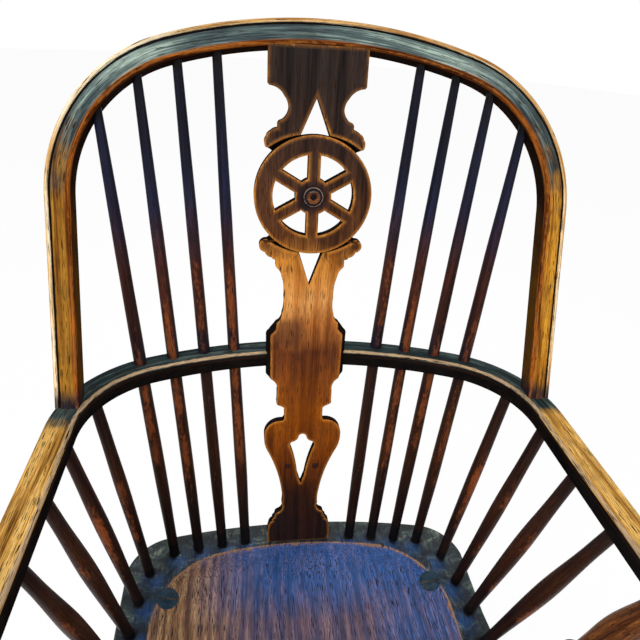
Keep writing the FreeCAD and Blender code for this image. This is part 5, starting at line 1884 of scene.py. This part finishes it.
@dataclass
class LongSpindles(Spindles):
    """The eight sticks that rise from the seat through the arm bow to the back bow."""
    word: str = "long"
    seed: int = 0
    foot: float = 5.75 * MM
    end_gap: float = 4.0 * MM
    swell: float = 6.75 * MM
    arm: float = 6.2 * MM
    top: float = 4.0 * MM
    arm_level: float = SEAT_TOP + 256.0 * MM

    def turning(self, node: str, number: int, start: Vector,
                end: Vector) -> tuple[list[Cut], Vector | None]:
        """Swelled below the arm bow and thinner above it, where it is bent.

        Args:
            node: the CAD node.
            number: its place in the row, from the middle; not used.
            start: its lower end.
            end: its upper end.

        Returns:
            The cuts, and its middle in the arm bow.
        """
        arm, length = middle_of(node, self.arm_level), (end - start).length
        knee = length * (arm.z - start.z) / (end.z - start.z)
        return [Cut(SWEEP, knee * 0.45, self.swell, steps=12),
                Cut(SWEEP, knee, self.arm, steps=14),
                Cut(SWEEP, (knee + length) / 2, self.arm * 0.92, steps=14),
                Cut(TAPER, length, self.top, steps=14)], arm


@dataclass
class ShortSpindles(Spindles):
    """The eight sticks between the seat and the underside of the arm bow."""
    word: str = "short"
    seed: int = 20
    foot: float = 5.5 * MM
    end_gap: float = 5.0 * MM
    swells: tuple[float, ...] = (6.75 * MM, 7.25 * MM, 8.0 * MM, 8.5 * MM)

    def turning(self, node: str, number: int, start: Vector,
                end: Vector) -> tuple[list[Cut], Vector | None]:
        """Swelled at the middle, more so toward the front, and straight.

        Args:
            node: the CAD node; not used.
            number: its place in the row, from the middle.
            start: its lower end.
            end: its upper end.

        Returns:
            The cuts, and no point to pass by.
        """
        length = (end - start).length
        return [Cut(SWEEP, length * 0.52, self.swells[number - 1], steps=16),
                Cut(SWEEP, length * 0.86, self.foot * 1.08, steps=14),
                Cut(TAPER, length, self.foot, steps=3)], None


# Turned work


def dress_turning(stock: Stock, start: Vector, end: Vector, seed: int,
                  widest: float) -> None:
    """Marks a turning's hollows and rings and sets it between its ends.

    Args:
        stock: the turning, made along Z from the origin.
        start: the end of its axis that Z 0 goes to.
        end: the point that its axis runs towards.
        seed: moves its figure.
        widest: its widest radius.
    """
    stock.close()
    stock.mark("worn", lambda point: 0.42 * smooth_step(
        0.6, 1.05, point.co.xy.length / widest))
    stock.mark("grime", lambda point: 0.6 * (1 - smooth_step(
        0.45, 0.7, point.co.xy.length / widest)))
    stock.lay_grain(Vector, seed * 0.613, seed * 0.29, 0)
    stock.move(between(start, end))


@dataclass
class ArmSupports:
    """The two turned supports under the fronts of the arms."""
    foot: float = 10.5 * MM
    belly: float = 18.5 * MM
    neck: float = 9.0 * MM
    top: float = 12.5 * MM
    neck_share: float = 138.0 / 262.0
    seed: int = 40
    sides: int = 40

    def build(self) -> list[Vector]:
        """Makes both supports.

        Returns:
            Where they stand on the seat, in the seat's own frame.
        """
        feet = []
        for side in Side:
            node = "arm_support_" + side.word
            low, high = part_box(node)
            deep, tall = middle_of(node, low.z + 8 * MM), middle_of(node, high.z - 5 * MM)
            way = (tall - deep).normalized()
            start = deep + way * ((SEAT_TOP - deep.z) / way.z)
            end = tall - way * 7.0 * MM
            length = (end - start).length
            neck_at = length * self.neck_share
            stock = Stock(node)
            turn_on_lathe(stock.shape, (-3 * MM, self.foot), [
                Cut(TAPER, 1.0 * MM, self.foot),
                Cut(BEAD, 9.0 * MM, self.foot * 0.96, 2.4 * MM, 8),
                Cut(COVE, 14.0 * MM, self.foot * 0.94, 1.0 * MM, 5),
                Cut(SWEEP, neck_at * 0.4, self.belly, steps=14),
                Cut(SWEEP, neck_at - 10 * MM, self.neck, steps=16),
                Cut(TAPER, neck_at - 7.5 * MM, self.neck * 1.12),
                Cut(BEAD, neck_at - 0.5 * MM, self.neck * 1.08, 4.0 * MM, 9),
                Cut(COVE, neck_at + 5 * MM, self.neck * 1.02, 0.8 * MM, 5),
                Cut(SWEEP, (neck_at + length) / 2, self.top, steps=14),
                Cut(SWEEP, length - 8 * MM, self.foot * 0.9, steps=12),
                Cut(BEAD, length - 3 * MM, self.foot * 0.95, 1.0 * MM, 6),
                Cut(TAPER, length + 1.5 * MM, self.foot * 0.9)], self.sides)
            dress_turning(stock, start, end, self.seed + side.value, self.belly)
            stock.finish(TURNED_BEECH, Slot.TURNED)
            feet.append(on_seat(start))
        return feet


@dataclass
class Legs:
    """The four turned legs, their tenons wedged through the seat."""
    seat: Seat
    places: dict[str, tuple[float, ...]] = field(default_factory=lambda: {
        "rear": (154.0, -71.0, 36.0, 62.0), "front": (160.0, -318.0, 40.0, -34.0)})
    tenon: float = 12.5 * MM
    shoulder: float = 15.0 * MM
    upper: float = 17.5 * MM
    neck: float = 11.5 * MM
    belly: float = 21.0 * MM
    waist: float = 13.0 * MM
    block: float = 17.5 * MM
    ankle: float = 12.0 * MM
    foot: float = 16.0 * MM
    floor: float = 12.0 * MM
    overlong: float = 20.0 * MM
    proud: float = 0.45 * MM
    eased: float = 0.4 * MM
    clearance: float = 0.01 * MM
    plug_reach: float = 20.0 * MM
    # the tenon ends get a painted blue sheen, a little darkening and a little lightening
    plug_marks: tuple[tuple[str, float], ...] = (("bloom", 1.0), ("grime", 0.2), ("worn", 0.1))
    wedge: tuple[float, float, float] = (23.0 * MM, 1.9 * MM, 14.0 * MM)
    wedge_point: float = 0.4
    wedge_sunk: float = 6.35 * MM
    wedge_eased: float = 0.25 * MM
    seed: int = 50
    sides: int = 40

    def axis(self, row: str, side: Side) -> tuple[Vector, Vector]:
        """A leg's axis at the seat's top and at the floor.

        Args:
            row: the front or the rear.
            side: the left or the right.

        Returns:
            The two ends of the axis.
        """
        x, y, splay_x, splay_y = (value * MM for value in self.places[row])
        return (Vector((side.value * x, y + CHAIR_Y, SEAT_TOP)),
                Vector((side.value * (x + splay_x), y + splay_y + CHAIR_Y, 0.0)))

    def build(self) -> None:
        """Makes the legs and their wedges."""
        for index, row in enumerate(self.places):
            for side in Side:
                self.build_leg(row, side, index * 2 + side.value + self.seed)
                self.build_wedge(row, side)

    def cuts(self, reach: float) -> list[Cut]:
        """The cuts of one leg.

        Args:
            reach: the length from below the seat to the floor.

        Returns:
            The cuts from the tenon down.
        """
        return [
            Cut(TAPER, 0.0, self.tenon), Cut(TAPER, 0.2 * MM, self.shoulder),
            Cut(SWEEP, 42 * MM, self.upper, steps=10), Cut(SWEEP, 98 * MM, self.neck, steps=14),
            Cut(TAPER, 101 * MM, self.neck * 1.16),
            Cut(BEAD, 114 * MM, self.neck * 1.16, 4.4 * MM, 10),
            Cut(COVE, 121 * MM, self.neck * 1.06, 1.2 * MM, 6),
            Cut(SWEEP, 160 * MM, self.belly, steps=14),
            Cut(SWEEP, 214 * MM, self.waist, steps=16), Cut(TAPER, 217 * MM, self.waist * 1.1),
            Cut(BEAD, 226 * MM, self.waist * 1.16, 2.6 * MM, 8),
            Cut(SWEEP, 240 * MM, self.block, steps=8), Cut(TAPER, 260 * MM, self.block, steps=3),
            Cut(SWEEP, 276 * MM, self.ankle * 1.14, steps=8),
            Cut(BEAD, 283 * MM, self.ankle * 1.1, 2.0 * MM, 8),
            Cut(SWEEP, 298 * MM, self.ankle, steps=6), Cut(TAPER, 301 * MM, self.ankle * 1.16),
            Cut(BEAD, 316 * MM, self.ankle * 1.1, 2.8 * MM, 10),
            Cut(COVE, 323 * MM, self.ankle * 1.16, 1.0 * MM, 6),
            Cut(SWEEP, 344 * MM, self.foot, steps=8),
            Cut(SWEEP, reach + 12 * MM, self.floor * 0.97, steps=12)]

    def build_leg(self, row: str, side: Side, seed: int) -> None:
        """Makes one leg, cut level with the seat's top and the floor.

        Args:
            row: the front or the rear.
            side: the left or the right.
            seed: moves its figure.
        """
        top, low = self.axis(row, side)
        start = top.lerp(low, self.seat.thickness / SEAT_TOP)
        stock = Stock("leg_%s_%s" % (row, side.word))
        turn_on_lathe(stock.shape, (-(top - start).length - self.overlong, self.tenon),
                      self.cuts((low - start).length), self.sides)
        dress_turning(stock, start, low, seed, self.belly)
        place, facing = self.seat.slope(top)
        self.trim(stock, place + facing * self.proud, facing)
        self.trim(stock, Vector((0, 0, self.clearance)), Vector((0, 0, -1)))
        for point in stock.shape.verts:
            if (point.co - place).length < self.plug_reach:
                for word, amount in self.plug_marks:
                    point[stock.marks[word]] = amount
        stock.finish(TURNED_BEECH, Slot.TURNED)

    def trim(self, stock: Stock, place: Vector, facing: Vector) -> None:
        """Cuts away what stands beyond a plane and eases the cut's edge."""
        bmesh.ops.bevel(stock.shape, geom=stock.cut_off(place, facing), offset=self.eased,
                        segments=2, profile=0.5, affect="EDGES", material=-1)

    def build_wedge(self, row: str, side: Side) -> None:
        """Makes the thin wedge across a tenon's end.

        Args:
            row: the front or the rear.
            side: the left or the right.
        """
        stock = Stock("leg_wedge_%s_%s" % (row, side.word))
        shape = stock.shape
        bmesh.ops.create_cube(shape, size=1.0)
        bmesh.ops.scale(shape, vec=self.wedge, verts=list(shape.verts))
        bmesh.ops.scale(shape, vec=(1, self.wedge_point, 1),
                        verts=[point for point in shape.verts if point.co.z < 0])
        bmesh.ops.bevel(shape, geom=list(shape.edges), offset=self.wedge_eased, segments=2,
                        profile=0.5, affect="EDGES", material=-1)
        place, facing = self.seat.slope(self.axis(row, side)[0])
        turned = Vector((0, 0, 1)).rotation_difference(facing).to_matrix().to_4x4()
        stock.move(Matrix.Translation(place - facing * self.wedge_sunk) @ turned)
        stock.lay_grain(Vector)
        stock.finish(OAK, Slot.WEDGE)


@dataclass
class Stretchers:
    """The side stretchers between the legs, and the cross stretcher between those."""
    end: float = 8.0 * MM
    side_swell: float = 15.5 * MM
    cross_swell: float = 13.5 * MM
    bead: float = 2.4 * MM
    bead_at: float = 59.0 * MM
    end_gap: float = 4.0 * MM
    seed: int = 60
    sides: int = 32

    def build(self) -> None:
        """Makes the three stretchers."""
        for side in Side:
            self.make("side_stretcher_" + side.word, 1, self.side_swell, self.seed + side.value)
        self.make("cross_stretcher", 0, self.cross_swell, self.seed + 3)

    def make(self, node: str, axis: int, swell: float, seed: int) -> None:
        """Makes one stretcher along the axis of its CAD node.

        Args:
            node: the CAD node that it stands for.
            axis: 0 where it runs across the chair, 1 where it runs along it.
            swell: its radius at its middle.
            seed: moves its figure.
        """
        low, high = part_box(node)
        start = middle_of(node, low[axis] + self.end_gap, axis)
        end = middle_of(node, high[axis] - self.end_gap, axis)
        length, neck = (end - start).length, self.end * 1.15
        near, far = self.bead_at, length - self.bead_at
        stock = Stock(node)
        turn_on_lathe(stock.shape, (0.0, self.end), [
            Cut(TAPER, 8 * MM, self.end), Cut(SWELL, near, neck, 0.6 * MM, 8),
            Cut(BEAD, near + 9 * MM, neck, self.bead, 9),
            Cut(COVE, near + 14 * MM, neck, 0.7 * MM, 5),
            Cut(SWEEP, length / 2, swell, steps=18), Cut(SWEEP, far - 14 * MM, neck, steps=18),
            Cut(COVE, far - 9 * MM, neck, 0.7 * MM, 5), Cut(BEAD, far, neck, self.bead, 9),
            Cut(SWELL, length - 8 * MM, self.end, 0.6 * MM, 8),
            Cut(TAPER, length, self.end)], self.sides)
        dress_turning(stock, start, end, seed, swell)
        stock.finish(TURNED_BEECH, Slot.TURNED)


def dress_pins() -> None:
    """Gives the pins through the back bow's feet, which keep their CAD meshes, a finish."""
    for side in Side:
        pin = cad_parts["bow_pin_" + side.word]
        pin.data.materials.clear()
        pin.data.materials.append(OAK.material())
        log.info("bow_pin_%s: keeps its CAD mesh", side.word)


# The studio


@dataclass
class Lamp:
    """One soft lamp that faces the chair."""
    name: str
    place: tuple[float, float, float]
    size: float
    power: float
    aim: tuple[float, float, float] = (0.0, 0.1, 0.6)

    def hang(self) -> None:
        """Hangs the lamp."""
        light = bpy.data.lights.new(self.name, "AREA")
        light.shape = "SQUARE"
        light.size = self.size
        light.energy = self.power
        lamp = bpy.data.objects.new(self.name, light)
        place = Vector(self.place)
        way = (Vector(self.aim) - place).to_track_quat("-Z", "Y")
        lamp.matrix_world = Matrix.Translation(place) @ way.to_matrix().to_4x4()
        bpy.context.scene.collection.objects.link(lamp)


@dataclass
class Studio:
    """A pale floor, soft light and the photograph's camera."""
    eye: Vector = field(default_factory=lambda: Vector((-0.06851, -0.32427, 1.03925)))
    yaw: float = 8.993
    pitch: float = 30.714
    roll: float = -4.496
    focal_pixels: float = 568.3
    image_width: float = 640.0
    floor_radius: float = 9.0
    floor_tone: tuple[float, ...] = (0.86, 0.86, 0.86)
    shadow_kept: float = 0.05
    sky_tone: tuple[float, ...] = (0.95, 0.98, 1.0)
    sky_strength: float = 0.42
    sensor: float = 36.0
    lamps: tuple[Lamp, ...] = (
        Lamp("key_softbox", (-1.5, -1.5, 2.3), 1.4, 56.0),
        Lamp("fill_softbox", (1.7, -1.1, 1.6), 1.8, 20.0),
        Lamp("rear_softbox", (0.3, 1.7, 2.2), 1.6, 26.0))

    def build(self) -> None:
        """Sets up the floor, lamps, world and camera."""
        self.lay_floor()
        for lamp in self.lamps:
            lamp.hang()
        self.light_world()
        self.set_camera()

    def show_white(self, graph: Graph, lit: Value, white: Node, factor: Value) -> None:
        """Shows plain white where the factor is 1, and the lit shader elsewhere.

        Args:
            graph: the graph that is wired.
            lit: the lit shader.
            white: the node that gives the white.
            factor: the share of the white.
        """
        mixed = graph.node("MixShader", {0: factor, 1: lit, 2: graph.out(white)})
        output = next(node for node in graph.tree.nodes if node.type.startswith("OUTPUT_"))
        graph.feed(output.inputs["Surface"], graph.out(mixed))

    def lay_floor(self) -> None:
        """Lays a wide pale floor that keeps the chair's shadow."""
        shape = bmesh.new()
        bmesh.ops.create_circle(shape, cap_ends=True, segments=64, radius=self.floor_radius)
        mesh = bpy.data.meshes.new("studio_floor")
        shape.to_mesh(mesh)
        shape.free()
        floor = bpy.data.objects.new("studio_floor", mesh)
        bpy.context.scene.collection.objects.link(floor)
        paper = bpy.data.materials.new("studio_paper")
        paper.use_nodes = True
        graph = Graph(paper.node_tree)
        shader = paper.node_tree.nodes["Principled BSDF"]
        for word, value in (("Base Color", self.floor_tone), ("Roughness", 0.9),
                            ("Specular IOR Level", 0.0)):
            graph.feed(shader.inputs[word], value)
        self.show_white(graph, graph.out(shader), graph.node("Emission", {"Strength": 1.0}),
                        graph.seen() * (1.0 - self.shadow_kept))
        mesh.materials.append(paper)

    def light_world(self) -> None:
        """Gives a soft even light from all round, and white where it is seen."""
        world = bpy.data.worlds.new("studio_world")
        world.use_nodes = True
        bpy.context.scene.world = world
        graph = Graph(world.node_tree)
        sky = world.node_tree.nodes["Background"]
        graph.feed(sky.inputs["Color"], self.sky_tone)
        graph.feed(sky.inputs["Strength"], self.sky_strength)
        white = graph.node("Background", {"Color": (1, 1, 1), "Strength": 1.0})
        self.show_white(graph, graph.out(sky), white, graph.seen())

    def set_camera(self) -> None:
        """Stands the camera where the photograph was taken from."""
        yaw, pitch, roll = (math.radians(angle) for angle in (self.yaw, self.pitch, self.roll))
        forward = Vector((math.sin(yaw) * math.cos(pitch), math.cos(yaw) * math.cos(pitch),
                          -math.sin(pitch)))
        right = Vector((math.cos(yaw), -math.sin(yaw), 0))
        down = forward.cross(right)
        image_right = right * math.cos(roll) + down * math.sin(roll)
        image_down = down * math.cos(roll) - right * math.sin(roll)
        lens = bpy.data.cameras.new("photo_camera")
        lens.sensor_width = self.sensor
        lens.lens = self.focal_pixels / self.image_width * self.sensor
        camera = bpy.data.objects.new("photo_camera", lens)
        turned = Matrix((image_right, -image_down, -forward)).transposed().to_4x4()
        camera.matrix_world = Matrix.Translation(self.eye) @ turned
        bpy.context.scene.collection.objects.link(camera)
        bpy.context.scene.camera = camera
        bpy.context.scene.view_settings.view_transform = "Standard"


def main() -> None:
    """Builds the chair piece by piece, and the studio round it."""
    logging.basicConfig(level=logging.INFO, format="%(message)s")
    seat = Seat()
    arm_bow = ArmBow()
    feet = LongSpindles().build() + ShortSpindles().build() + ArmSupports().build()
    seat.build(feet)
    arm_bow.build()
    BackBow(arm_bow).build()
    splat = Splat()
    splat.build()
    splat.build_boss()
    Legs(seat).build()
    Stretchers().build()
    dress_pins()
    Studio().build()


if __name__ == "__main__":
    main()
